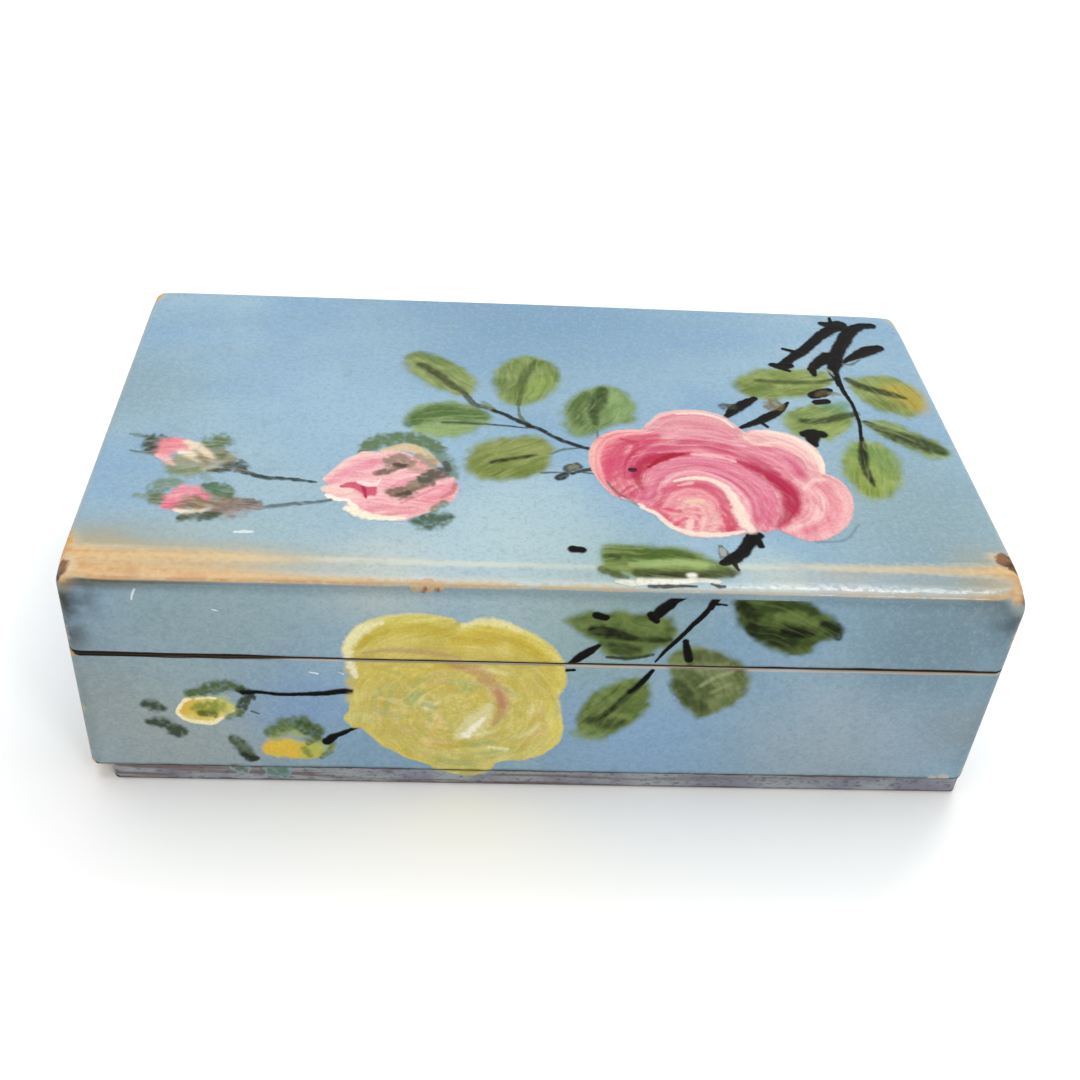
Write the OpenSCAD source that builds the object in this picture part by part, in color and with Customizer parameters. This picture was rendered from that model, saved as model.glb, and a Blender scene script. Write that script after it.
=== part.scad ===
// A painted wooden box with a hinged lid, in millimetres.
// The boards are glued up as one closed block, rounded over, and sawn apart along the seam into walls and lid.
// +X runs to the right, +Y to the back and +Z up. The origin is on the table, under the middle of the block.

/* [Block] */
// Length of the block, from end to end
block_length = 200; // [170:1:240]
// Depth of the block, from the front face to the back face
block_depth = 118; // [90:1:150]
// Height of the walls, from the bottom board up to the seam
wall_height = 34.1; // [28:0.1:50]
// Height of the lid, from the seam up to its top face
lid_height = 21.3; // [19:0.1:32]
// Width of the saw cut at the seam
seam_gap = 0.3; // [0.2:0.05:0.6]

/* [Boards] */
// Thickness of the front and back boards
long_thickness = 8; // [7:0.5:10]
// Thickness of the end boards
end_thickness = 8; // [6:0.5:10]
// Thickness of the top board
top_thickness = 7.5; // [6:0.5:9]
// How far the end boards are let into the front and back boards
rebate_depth = 4; // [3:0.25:5]

/* [Edges] */
// Radius of the four upright corners
corner_radius = 3; // [1:0.25:4]
// Width of the shallow slope that is planed along the front of the lid's top face
front_slope_width = 8; // [5:0.5:12]
// How far that slope falls towards the front
front_slope_drop = 0.7; // [0.3:0.1:2]
// Radius of the edge between that slope and the front face
front_edge_radius = 1.4; // [0.5:0.1:2.5]
// Radius of the lid's top edge along the back and the ends
top_edge_radius = 2.5; // [1:0.25:5]
// Radius of the rubbed arrises at the seam and at the foot of the walls
arris_radius = 0.35; // [0.2:0.05:0.8]

/* [Bottom board] */
// Thickness of the bottom board
bottom_thickness = 5.3; // [4:0.1:8]
// How far the bottom board stops short of the left end
bottom_left_inset = 4.4; // [0:0.1:6]
// How far the bottom board stops short of the right end
bottom_right_inset = 0.3; // [0:0.1:3]
// How far the bottom board is set back from the front and back faces
bottom_face_inset = 0.6; // [0:0.1:2]
// Radius of the bottom board's upright corners
bottom_corner_radius = 2.5; // [1:0.25:4]
// Radius of the bottom board's lower edges
bottom_edge_radius = 0.6; // [0.3:0.1:2]

/* [Corner pins] */
// Radius of a corner pin's shank
pin_radius = 0.6; // [0.4:0.05:0.8]
// Length of a corner pin
pin_length = 18; // [14:0.5:25]
// Radius of a corner pin's head
pin_head_radius = 1; // [0.85:0.05:1.3]
// Corner pins one above the other in each corner of the walls
wall_pin_rows = 2; // [1:1:3]

/* [Bottom nails] */
// Radius of a bottom nail's shank
nail_radius = 0.7; // [0.5:0.05:0.9]
// Length of a bottom nail
nail_length = 16; // [12:0.5:22]
// Radius of a bottom nail's head
nail_head_radius = 1.5; // [1.1:0.05:2]
// Bottom nails along the front wall, and along the back wall
nails_per_wall = 4; // [2:1:6]
// Distance of the outer bottom nails from the ends of the block
nail_inset = 20; // [12:1:35]
// Depth of the bottom nails' heads below the underside
nail_sink = 0.1; // [0.1:0.05:0.5]

/* [Hinges] */
// Length of a hinge
hinge_length = 24; // [20:1:36]
// Distance from an end of the block to the middle of its hinge
hinge_inset = 42; // [25:1:60]
// Width of a leaf's part that is let into the wood
leaf_width = 6; // [5:0.1:6.5]
// Thickness of the hinge metal
leaf_thickness = 0.8; // [0.6:0.05:1.1]
// Distance of the hinge pins behind the back face
hinge_setback = 1; // [0.6:0.1:2]
// Length of each end knuckle
end_knuckle_length = 6.5; // [4:0.25:7]
// Radius of a hinge pin
hinge_pin_radius = 0.9; // [0.7:0.05:1.2]
// Radius of a hinge pin's riveted heads
hinge_pin_head_radius = 1.4; // [1.25:0.05:1.6]

/* [Hinge screws] */
// Radius of a screw's shank
screw_radius = 0.9; // [0.6:0.05:1.1]
// Radius of a screw's head
screw_head_radius = 1.7; // [1.3:0.05:2]
// Length of a screw
screw_length = 9; // [6:0.5:11]
// Distance of each screw from the middle of its hinge
screw_offset = 7.5; // [4:0.25:8]

/* [Clearances] */
// Radial clearance of the hinge pins in the knuckles
hinge_clearance = 0.05; // [0.02:0.01:0.09]
// Gap between one knuckle and the next, and round each let-in leaf
knuckle_gap = 0.15; // [0.1:0.01:0.3]
// Radial clearance of nails, pins and screws in their holes
drive_clearance = 0.02; // [0.01:0.005:0.05]

/* [Hidden] */
$fn = 64;
// A cut runs this far past the face that it goes through
overcut = 1;

wall_low = bottom_thickness;
seam_low = wall_low + wall_height;
seam_high = seam_low + seam_gap;
top_low = seam_high + lid_height - top_thickness;
lid_high = seam_high + lid_height;

front = -block_depth / 2;
back = block_depth / 2;
// Where the end boards stop inside the rebates, measured from the middle
end_reach = block_depth / 2 - long_thickness + rebate_depth;
// Line of the corner pins, in the middle of the let-in part of an end board
pin_line = end_reach - rebate_depth / 2;
pin_head_height = 0.5;

nail_head_height = 0.6;
nail_line = block_depth / 2 - long_thickness / 2;
nail_pitch = (block_length - 2 * nail_inset) / (nails_per_wall - 1);

hinge_x = block_length / 2 - hinge_inset;
hinge_y = back + hinge_setback;
hinge_z = seam_low + seam_gap / 2;
bore_radius = hinge_pin_radius + hinge_clearance;
knuckle_radius = bore_radius + leaf_thickness;
hinge_pin_head_height = 0.5;
// Half the length of the row of knuckles, which leaves room for the riveted heads within the hinge's length
knuckle_reach = hinge_length / 2 - hinge_pin_head_height - knuckle_gap;
centre_reach = knuckle_reach - end_knuckle_length - knuckle_gap;
// Inner edge of the knuckles' slot in a leaf, and inner edge of the leaf, measured forward from the pin
slot_edge = knuckle_radius + knuckle_gap;
leaf_edge = hinge_setback + leaf_width;
screw_y = (slot_edge + leaf_edge) / 2;
screw_tip_length = 2;
screw_tip_radius = 0.25;
screw_slot_width = 0.5;
screw_slot_depth = 0.35;

paint_blue = [0.53, 0.66, 0.74];
lid_blue = [0.56, 0.69, 0.77];
foot_grey = [0.45, 0.43, 0.47];
brass = [0.66, 0.53, 0.30];
steel = [0.42, 0.41, 0.40];

// Profiles

// What a round edge takes off a square corner at the origin, with the stuff towards +X and +Y
module corner_waste(radius) {
  difference() {
    translate([-overcut, -overcut]) square(radius + overcut);
    translate([radius, radius]) circle(r = radius);
  }
}

// What a shallow slope with a round edge takes off the same corner.
// +X runs along the slope here and +Y down the face below it.
module slope_waste(width, drop, radius) {
  angle = atan2(drop, width);
  // Middle of the edge's arc, which touches the face and the slope
  arc_middle = [radius, drop + radius * (1 - sin(angle)) / cos(angle)];
  slope_touch = arc_middle - radius * [sin(angle), cos(angle)];
  difference() {
    polygon([[-overcut, -overcut], [width, -overcut], [width, 0], slope_touch, arc_middle,
             [-overcut, arc_middle.y]]);
    translate(arc_middle) circle(r = radius);
  }
}

// A rectangle from low to high whose corners have the radii [low left, low right, high right, high left].
// A radius of 0 leaves that corner square.
module rounded_rectangle(low, high, radii) {
  at_right = [0, 1, 1, 0];
  at_top = [0, 0, 1, 1];
  difference() {
    translate(low) square(high - low);
    for (i = [0:3]) if (radii[i] > 0)
      translate([at_right[i] ? high.x : low.x, at_top[i] ? high.y : low.y])
        mirror([at_right[i], 0]) mirror([0, at_top[i]])
          corner_waste(radii[i]);
  }
}

module along_x(length) rotate([90, 0, 90]) linear_extrude(length, center = true) children();
module along_y(length) rotate([90, 0, 0]) linear_extrude(length, center = true) children();

// A slab with rounded edges: plan, side profile and end profile meet in it
module rounded_slab(left, right, front_y, back_y, low, high, upright, lower, upper_front, upper_edge) {
  span = 2 * (block_length + block_depth);
  intersection() {
    translate([0, 0, low]) linear_extrude(high - low)
      rounded_rectangle([left, front_y], [right, back_y], [upright, upright, upright, upright]);
    along_x(span)
      rounded_rectangle([front_y, low], [back_y, high], [lower, lower, upper_edge, upper_front]);
    along_y(span)
      rounded_rectangle([left, low], [right, high], [lower, lower, upper_edge, upper_edge]);
  }
}

module lid_block() {
  difference() {
    rounded_slab(-block_length / 2, block_length / 2, front, back, seam_high, lid_high,
      corner_radius, arris_radius, 0, top_edge_radius);
    translate([0, front, lid_high]) along_x(2 * block_length) mirror([0, 1])
      slope_waste(front_slope_width, front_slope_drop, front_edge_radius);
  }
}

module wall_block() {
  rounded_slab(-block_length / 2, block_length / 2, front, back, wall_low, seam_low,
    corner_radius, arris_radius, arris_radius, arris_radius);
}

// Fasteners, with their outer face on z = 0 and their shank along +Z

module headed_nail(radius, length, head_radius, head_height) {
  cylinder(r = head_radius, h = head_height);
  cylinder(r = radius, h = length);
}

module headed_nail_hole(radius, length, head_radius, head_height) {
  translate([0, 0, -overcut]) cylinder(r = head_radius + drive_clearance, h = overcut + head_height);
  cylinder(r = radius + drive_clearance, h = length + drive_clearance);
}

module hinge_screw() {
  difference() {
    union() {
      cylinder(r1 = screw_head_radius, r2 = screw_radius, h = leaf_thickness);
      translate([0, 0, leaf_thickness])
        cylinder(r = screw_radius, h = screw_length - screw_tip_length - leaf_thickness);
      translate([0, 0, screw_length - screw_tip_length])
        cylinder(r1 = screw_radius, r2 = screw_tip_radius, h = screw_tip_length);
    }
    translate([-screw_slot_width / 2, -screw_head_radius - overcut, -overcut])
      cube([screw_slot_width, 2 * (screw_head_radius + overcut), overcut + screw_slot_depth]);
  }
}

module hinge_screw_hole() {
  cylinder(r1 = screw_head_radius + drive_clearance, r2 = screw_radius + drive_clearance, h = leaf_thickness);
  cylinder(r = screw_radius + drive_clearance, h = screw_length + drive_clearance);
}

// Places

module at_corners(heights) {
  for (side = [-1, 1], face = [-1, 1], height = heights)
    translate([side * block_length / 2, face * pin_line, height]) rotate([0, -90 * side, 0]) children();
}

module at_bottom_nails() {
  for (face = [-1, 1], i = [0:nails_per_wall - 1])
    translate([i * nail_pitch - block_length / 2 + nail_inset, face * nail_line, nail_sink]) children();
}

module at_hinge(side) translate([side * hinge_x, hinge_y, hinge_z]) children();

// The lid's screws stand on the lid leaf's inner face and go up. The walls' screws mirror them.
module at_screws() {
  for (side = [-1, 1])
    translate([side * screw_offset, -screw_y, knuckle_radius - leaf_thickness]) children();
}

lid_pin_heights = [(seam_high + top_low) / 2];
wall_pin_heights = [for (i = [1:wall_pin_rows]) wall_low + wall_height * (2 * i - 1) / (2 * wall_pin_rows)];

module corner_pin_holes(heights) {
  at_corners(heights) headed_nail_hole(pin_radius, pin_length, pin_head_radius, pin_head_height);
}

module bottom_nail_holes() {
  at_bottom_nails() headed_nail_hole(nail_radius, nail_length, nail_head_radius, nail_head_height);
}

// Housings that are cut in the back boards for the hinge leaves, up into the lid and down into the wall
module hinge_housings(up) {
  half = hinge_length / 2 + knuckle_gap;
  reach = leaf_edge + knuckle_gap;
  for (side = [-1, 1]) at_hinge(side) mirror([0, 0, up ? 0 : 1]) {
    translate([-half, -reach, -overcut]) cube([2 * half, reach + overcut, overcut + knuckle_radius]);
    at_screws() hinge_screw_hole();
  }
}

// Boards

// A front board in plan, with the rebates that take the end boards
module long_board_plan() {
  difference() {
    translate([-block_length / 2, front]) square([block_length, long_thickness]);
    for (side = [0, 1]) mirror([side, 0])
      translate([-block_length / 2 - overcut, -end_reach])
        square([end_thickness + overcut, rebate_depth + overcut]);
  }
}

module end_board_plan() {
  translate([-block_length / 2, -end_reach]) square([end_thickness, 2 * end_reach]);
}

module upright(low, high) translate([0, 0, low]) linear_extrude(high - low) children();

module lid_top_board() {
  color(lid_blue) intersection() {
    lid_block();
    upright(top_low, lid_high) square(2 * block_length, center = true);
  }
}

module lid_front_rail() {
  color(paint_blue) difference() {
    intersection() {
      lid_block();
      upright(seam_high, top_low) long_board_plan();
    }
    corner_pin_holes(lid_pin_heights);
  }
}

module lid_back_rail() {
  color(paint_blue) difference() {
    intersection() {
      lid_block();
      upright(seam_high, top_low) mirror([0, 1]) long_board_plan();
    }
    corner_pin_holes(lid_pin_heights);
    hinge_housings(true);
  }
}

module lid_end_rail(right) {
  color(paint_blue) difference() {
    intersection() {
      lid_block();
      upright(seam_high, top_low) mirror([right, 0]) end_board_plan();
    }
    corner_pin_holes(lid_pin_heights);
  }
}

module lid_left_rail() lid_end_rail(0);
module lid_right_rail() lid_end_rail(1);

module front_wall() {
  color(paint_blue) difference() {
    intersection() {
      wall_block();
      upright(wall_low, seam_low) long_board_plan();
    }
    corner_pin_holes(wall_pin_heights);
    bottom_nail_holes();
  }
}

module back_wall() {
  color(paint_blue) difference() {
    intersection() {
      wall_block();
      upright(wall_low, seam_low) mirror([0, 1]) long_board_plan();
    }
    corner_pin_holes(wall_pin_heights);
    bottom_nail_holes();
    hinge_housings(false);
  }
}

module end_wall(right) {
  color(paint_blue) difference() {
    intersection() {
      wall_block();
      upright(wall_low, seam_low) mirror([right, 0]) end_board_plan();
    }
    corner_pin_holes(wall_pin_heights);
  }
}

module left_wall() end_wall(0);
module right_wall() end_wall(1);

// The bottom board is nailed on from below. It was cut short, and stands in from the left end.
module bottom_board() {
  color(foot_grey) difference() {
    rounded_slab(-block_length / 2 + bottom_left_inset, block_length / 2 - bottom_right_inset,
      front + bottom_face_inset, back - bottom_face_inset, 0, bottom_thickness,
      bottom_corner_radius, bottom_edge_radius, arris_radius, arris_radius);
    bottom_nail_holes();
  }
}

// Pins and nails

module lid_corner_pins() {
  color(steel) at_corners(lid_pin_heights) headed_nail(pin_radius, pin_length, pin_head_radius, pin_head_height);
}

module wall_corner_pins() {
  color(steel) at_corners(wall_pin_heights) headed_nail(pin_radius, pin_length, pin_head_radius, pin_head_height);
}

module bottom_nails() {
  color(steel) at_bottom_nails() headed_nail(nail_radius, nail_length, nail_head_radius, nail_head_height);
}

// Hinges

// A leaf with its pin along X, its plate towards -Y and above the pin, rolled into the given [from, to] knuckles
module hinge_leaf(knuckles) {
  plate_low = knuckle_radius - leaf_thickness;
  difference() {
    union() {
      translate([-hinge_length / 2, -leaf_edge, plate_low])
        cube([hinge_length, leaf_edge - slot_edge, leaf_thickness]);
      for (k = knuckles) {
        translate([k[0], 0, 0]) rotate([0, 90, 0]) cylinder(r = knuckle_radius, h = k[1] - k[0]);
        translate([k[0], -leaf_edge, plate_low]) cube([k[1] - k[0], leaf_edge, leaf_thickness]);
      }
    }
    rotate([0, 90, 0]) cylinder(r = bore_radius, h = hinge_length + overcut, center = true);
    at_screws() hinge_screw_hole();
  }
}

module lid_leaf(side) {
  color(brass) at_hinge(side) hinge_leaf([[-centre_reach, centre_reach]]);
}

module box_leaf(side) {
  color(brass) at_hinge(side) mirror([0, 0, 1])
    hinge_leaf([[-knuckle_reach, end_knuckle_length - knuckle_reach],
                [knuckle_reach - end_knuckle_length, knuckle_reach]]);
}

// A hinge pin is riveted over at both ends
module hinge_pin(side) {
  color(brass) at_hinge(side) for (end = [0, 1]) mirror([end, 0, 0]) rotate([0, 90, 0]) {
    cylinder(r = hinge_pin_radius, h = knuckle_reach + knuckle_gap);
    translate([0, 0, knuckle_reach + knuckle_gap / 2])
      cylinder(r = hinge_pin_head_radius, h = hinge_pin_head_height);
  }
}

module left_hinge_lid_leaf() lid_leaf(-1);
module left_hinge_box_leaf() box_leaf(-1);
module left_hinge_pin() hinge_pin(-1);
module right_hinge_lid_leaf() lid_leaf(1);
module right_hinge_box_leaf() box_leaf(1);
module right_hinge_pin() hinge_pin(1);

module hinge_screws(up) {
  color(brass) for (side = [-1, 1]) at_hinge(side) mirror([0, 0, up ? 0 : 1]) at_screws() hinge_screw();
}

module lid_hinge_screws() hinge_screws(true);
module box_hinge_screws() hinge_screws(false);

lid_top_board();
lid_front_rail();
lid_back_rail();
lid_left_rail();
lid_right_rail();
lid_corner_pins();
front_wall();
back_wall();
left_wall();
right_wall();
wall_corner_pins();
bottom_board();
bottom_nails();
left_hinge_lid_leaf();
left_hinge_box_leaf();
left_hinge_pin();
right_hinge_lid_leaf();
right_hinge_box_leaf();
right_hinge_pin();
lid_hinge_screws();
box_hinge_screws();
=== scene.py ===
import math

import bpy
import numpy as np
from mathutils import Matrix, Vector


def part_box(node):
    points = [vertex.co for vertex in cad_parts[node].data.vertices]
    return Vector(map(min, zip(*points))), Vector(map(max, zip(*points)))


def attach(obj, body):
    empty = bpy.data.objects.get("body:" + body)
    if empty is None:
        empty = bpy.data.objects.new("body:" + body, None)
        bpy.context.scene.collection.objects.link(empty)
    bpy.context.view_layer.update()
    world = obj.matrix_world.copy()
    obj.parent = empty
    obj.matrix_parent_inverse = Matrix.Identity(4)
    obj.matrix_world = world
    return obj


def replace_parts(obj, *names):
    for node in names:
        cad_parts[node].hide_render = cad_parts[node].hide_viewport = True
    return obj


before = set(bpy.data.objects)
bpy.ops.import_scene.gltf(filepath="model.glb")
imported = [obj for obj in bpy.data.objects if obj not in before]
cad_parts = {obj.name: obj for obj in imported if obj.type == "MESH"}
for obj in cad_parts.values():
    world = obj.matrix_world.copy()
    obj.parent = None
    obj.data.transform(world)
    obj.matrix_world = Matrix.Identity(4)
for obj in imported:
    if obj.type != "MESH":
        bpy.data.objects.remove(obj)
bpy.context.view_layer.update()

# Bottom board
# A thin softwood board, cut a little short of the left end and nailed on from below.
# Its edges are painted a dull grey-violet that is rubbed down to brown; the underside is bare.
MM = 0.001


def span(node):
    """Lowest and highest corner of a solid, in millimetres."""
    return [np.array(corner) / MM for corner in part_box(node)]


def shade(red, green, blue, level=0.84):
    """A colour as seen in bright light, 0 to 255, as the share of the light that the paint gives back."""
    part = np.array([red, green, blue]) / 255
    light = level * np.where(part <= 0.04045, part / 12.92, ((part + 0.055) / 1.055) ** 2.4)
    return (*light.tolist(), 1.0)


class Finish:
    """A material that is laid on coat by coat. Places and distances are millimetres on the piece itself."""

    def __init__(self, name):
        self.material = bpy.data.materials.new(name)
        self.material.use_nodes = True
        self.nodes = self.material.node_tree.nodes
        self.links = self.material.node_tree.links
        self.shader = self.nodes["Principled BSDF"]
        metres = self.node("ShaderNodeTexCoord").outputs["Object"]
        scaled = self.node("ShaderNodeVectorMath", operation="SCALE")
        scaled.inputs["Scale"].default_value = 1 / MM
        self.links.new(metres, scaled.inputs[0])
        self.place = scaled.outputs[0]
        self.x, self.y, self.z = self.parts_of(self.place)

    def node(self, kind, **settings):
        """A new node with these settings."""
        made = self.nodes.new(kind)
        for key, value in settings.items():
            setattr(made, key, value)
        return made

    def plug(self, socket, value):
        """Joins a socket to another one, or gives it a plain value."""
        if isinstance(value, bpy.types.NodeSocket):
            self.links.new(value, socket)
        else:
            socket.default_value = value

    def parts_of(self, vector):
        """The X, Y and Z of a vector."""
        split = self.node("ShaderNodeSeparateXYZ")
        self.links.new(vector, split.inputs[0])
        return split.outputs[:]

    def calc(self, operation, *values):
        """One operation of arithmetic."""
        made = self.node("ShaderNodeMath", operation=operation)
        for socket, value in zip(made.inputs, values):
            self.plug(socket, value)
        return made.outputs[0]

    def total(self, operation, values):
        """One operation run through several values, such as the largest of them."""
        result = values[0]
        for value in values[1:]:
            result = self.calc(operation, result, value)
        return result

    def times(self, *values):
        """The product of several shares."""
        return self.total("MULTIPLY", values)

    def away(self, value, middle):
        """Distance of one coordinate from a middle."""
        return self.calc("ABSOLUTE", self.calc("SUBTRACT", value, middle))

    def line(self, first, first_middle, second, second_middle):
        """Distance from a straight edge, seen along it: the hypotenuse of two offsets."""
        offsets = [self.calc("SUBTRACT", first, first_middle), self.calc("SUBTRACT", second, second_middle)]
        return self.calc("SQRT", self.calc("ADD", *[self.times(o, o) for o in offsets]))

    def ease(self, value, none, full):
        """A soft step, 0 at none and 1 at full, whichever is larger."""
        made = self.node("ShaderNodeMapRange", interpolation_type="SMOOTHSTEP")
        for index, setting in enumerate((value, none, full)):
            self.plug(made.inputs[index], setting)
        return made.outputs[0]

    def cloud(self, size, detail=2.0, shift=0.0, place=None):
        """Noise from 0 to 1 whose patches have these sizes along X, Y and Z."""
        sizes = size if isinstance(size, tuple) else (size, size, size)
        moved = self.node("ShaderNodeVectorMath", operation="MULTIPLY_ADD")
        self.links.new(place or self.place, moved.inputs[0])
        moved.inputs[1].default_value = [1 / s for s in sizes]
        moved.inputs[2].default_value = (shift, shift * 1.7, shift * 0.6)
        made = self.node("ShaderNodeTexNoise")
        self.links.new(moved.outputs[0], made.inputs["Vector"])
        made.inputs["Scale"].default_value = 1.0
        made.inputs["Detail"].default_value = detail
        return made.outputs[0]

    def stray(self, distance, noise, reach):
        """A distance whose edge wanders in and out by up to reach, as the noise does."""
        return self.calc("MULTIPLY_ADD", self.calc("SUBTRACT", noise, 0.5), 2 * reach, distance)

    def blend(self, share, under, over):
        """One colour over another, all of it where the share is 1."""
        made = self.node("ShaderNodeMix", data_type="RGBA")
        for index, value in ((0, share), (6, under), (7, over)):
            self.plug(made.inputs[index], value)
        return made.outputs[2]

    def dim(self, colour, share):
        """A colour times a share."""
        made = self.node("ShaderNodeVectorMath", operation="SCALE")
        self.links.new(colour, made.inputs[0])
        self.plug(made.inputs["Scale"], share)
        return made.outputs[0]

    def spot(self, middle, reach, soft=0.6, noise=0.5):
        """1 at a place on the piece, fading to 0 at reach, with an edge that wanders as the noise does."""
        made = self.node("ShaderNodeVectorMath", operation="DISTANCE")
        self.links.new(self.place, made.inputs[0])
        made.inputs[1].default_value = middle
        return self.ease(self.stray(made.outputs["Value"], noise, 1.2), reach, reach * (1 - soft))

    def along(self, coordinate, points):
        """A value that follows given points (coordinate, value) in straight stretches."""
        first, last = points[0][0], points[-1][0]
        least, most = (pick(value for _, value in points) for pick in (min, max))
        made = self.node("ShaderNodeValToRGB")
        past = self.calc("SUBTRACT", coordinate, first)
        self.links.new(self.calc("DIVIDE", past, last - first), made.inputs[0])
        stops = made.color_ramp.elements
        while len(stops) < len(points):
            stops.new(0.5)
        for stop, (at, value) in zip(stops, points):
            stop.position = (at - first) / (last - first)
            stop.color = (*[(value - least) / (most - least)] * 3, 1)
        return self.calc("MULTIPLY_ADD", made.outputs[0], most - least, least)

    def own_normal(self):
        """The surface's direction in the piece's own frame, whatever the pose."""
        made = self.node("ShaderNodeVectorTransform", vector_type="NORMAL", convert_from="WORLD",
                         convert_to="OBJECT")
        self.links.new(self.node("ShaderNodeNewGeometry").outputs["True Normal"], made.inputs[0])
        return self.parts_of(made.outputs[0])

    def bump(self, height, depth):
        """Relief from a height of 0 to 1 that is this many millimetres deep."""
        made = self.node("ShaderNodeBump")
        made.inputs["Distance"].default_value = depth * MM
        self.links.new(height, made.inputs["Height"])
        self.links.new(made.outputs[0], self.shader.inputs["Normal"])

    def bare_wood(self, light, dark, across):
        """Aged softwood: long streaks along the grain, which runs along X, or along Y where across is 1."""
        turned = self.node("ShaderNodeCombineXYZ")
        for socket, part in zip(turned.inputs, (self.y, self.x, self.z)):
            self.links.new(part, socket)
        mixed = self.node("ShaderNodeMix", data_type="VECTOR")
        for index, value in ((0, across), (4, self.place), (5, turned.outputs[0])):
            self.plug(mixed.inputs[index], value)
        grain = self.times(self.cloud((70.0, 2.2, 2.2), 3.0, place=mixed.outputs[1]), 0.6)
        fibre = self.cloud((26.0, 0.5, 0.5), 2.0, 4.0, mixed.outputs[1])
        grain = self.calc("MULTIPLY_ADD", fibre, 0.4, grain)
        return self.blend(self.ease(grain, 0.38, 0.62), light, dark), grain


def soften_facets():
    """A modifier that joins a solid's loose triangles and shades it smooth, but for edges over 30 degrees."""
    group = bpy.data.node_groups.new("soften_facets", "GeometryNodeTree")
    group.interface.new_socket("Geometry", in_out="INPUT", socket_type="NodeSocketGeometry")
    group.interface.new_socket("Geometry", in_out="OUTPUT", socket_type="NodeSocketGeometry")
    start, end = group.nodes.new("NodeGroupInput"), group.nodes.new("NodeGroupOutput")
    merge = group.nodes.new("GeometryNodeMergeByDistance")
    merge.inputs["Distance"].default_value = 0.001 * MM
    round_faces = group.nodes.new("GeometryNodeSetShadeSmooth")
    sharp_edges = group.nodes.new("GeometryNodeSetShadeSmooth")
    sharp_edges.domain = "EDGE"
    sharp_edges.inputs["Shade Smooth"].default_value = False
    angle = group.nodes.new("GeometryNodeInputMeshEdgeAngle")
    over = group.nodes.new("FunctionNodeCompare")
    over.inputs[1].default_value = math.radians(30)
    link = group.links.new
    link(start.outputs[0], merge.inputs[0])
    link(merge.outputs[0], round_faces.inputs[0])
    link(round_faces.outputs[0], sharp_edges.inputs[0])
    link(angle.outputs[0], over.inputs[0])
    link(over.outputs[0], sharp_edges.inputs["Selection"])
    link(sharp_edges.outputs[0], end.inputs[0])
    return group


SOFTEN = soften_facets()


def dress(node, finish):
    """Gives a solid its finish and smooths the facets of its round edges."""
    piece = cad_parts[node]
    piece.data.materials.clear()
    piece.data.materials.append(finish)
    piece.modifiers.new("soften_facets", "NODES").node_group = SOFTEN


RAW_LIGHT, RAW_DARK = shade(214, 182, 136), shade(178, 136, 90)


def foot_paint():
    """Grey-violet edges with brown rubs along them, on a board whose faces are bare; painted shade darkens
    its lower edge by the floor and its top edge under the wall.
    """
    f = Finish("foot_paint")
    board_top = span("bottom_board")[1][2]
    grey = f.blend(f.ease(f.cloud(9.0, 3.0), 0.35, 0.65), shade(136, 138, 152), shade(166, 174, 178))
    brown = f.ease(f.cloud((30.0, 3.0, 1.6), 4.0), 0.5, 0.66)
    brown = f.times(brown, f.along(f.x, [(-98, 0.95), (0, 0.85), (40, 0.4), (98, 0.25)]))
    colour = f.blend(brown, grey, shade(118, 96, 92))
    fleck = f.ease(f.cloud((1.4, 0.7, 0.7), 3.0), 0.5, 0.7)
    colour = f.blend(f.times(fleck, 0.55), colour, shade(70, 58, 60))
    patch = f.cloud(6.0, 3.0, 2.0)
    # Painted shade along the lower edge, by the floor
    rim = f.stray(f.away(f.z, 0.0), patch, 0.5)
    colour = f.blend(f.ease(rim, 1.0, 0.2), colour, shade(66, 58, 58))
    # Painted shade along the top edge, in the joint under the wall
    lip = f.stray(f.away(f.z, board_top), patch, 0.4)
    colour = f.blend(f.ease(lip, 0.8, 0.25), colour, shade(44, 38, 37))
    wood, grain = f.bare_wood(RAW_LIGHT, RAW_DARK, 0.0)
    face = f.ease(f.calc("ABSOLUTE", f.own_normal()[2]), 0.7, 0.9)
    f.plug(f.shader.inputs["Base Color"], f.blend(face, colour, wood))
    f.plug(f.shader.inputs["Roughness"], f.calc("ADD", 0.45, f.times(grain, 0.25)))
    f.bump(grain, 0.06)
    return f.material


dress("bottom_board", foot_paint())


# Nails of the bottom board
# Round wire nails, driven up into the front and back walls until their heads are just below the surface.
# Bare steel, browned by rust round the heads.
def rusty_steel():
    """Dull steel with rust in soft patches."""
    f = Finish("rusty_steel")
    rust = f.ease(f.cloud(0.9, 3.0), 0.42, 0.6)
    f.plug(f.shader.inputs["Base Color"], f.blend(rust, shade(150, 146, 140), shade(112, 72, 46)))
    f.plug(f.shader.inputs["Roughness"], f.calc("ADD", 0.38, f.times(rust, 0.4)))
    f.plug(f.shader.inputs["Metallic"], f.calc("SUBTRACT", 1.0, rust))
    f.bump(f.cloud(0.5, 2.0), 0.03)
    return f.material


dress("bottom_nails", rusty_steel())

# Walls
# Four softwood boards of 8 mm: the ends are let into rebates in the front and back, glued and pinned.
# The outside is painted sky blue by brush and has worn through to the wood along edges; the inside is bare.
lid_low, lid_high = span("lid_top_board")
wall_low, wall_high = span("front_wall")
rail_low = span("lid_front_rail")[0]
left, front, top = lid_low[0], lid_low[1], lid_high[2]
right, back = lid_high[0], lid_high[1]
seam_low, seam_high = wall_high[2], rail_low[2]
seam = (seam_low + seam_high) / 2
# Faces of the boards towards the inside, and how far the end boards go into the long ones
BOARD, REBATE = 8.0, 4.0
inner_x = right - BOARD
inner_y = back - BOARD
# Line on the lid's top where the shallow slope to the front begins
SLOPE_WIDTH = 8.0
slope_line = front + SLOPE_WIDTH


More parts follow.
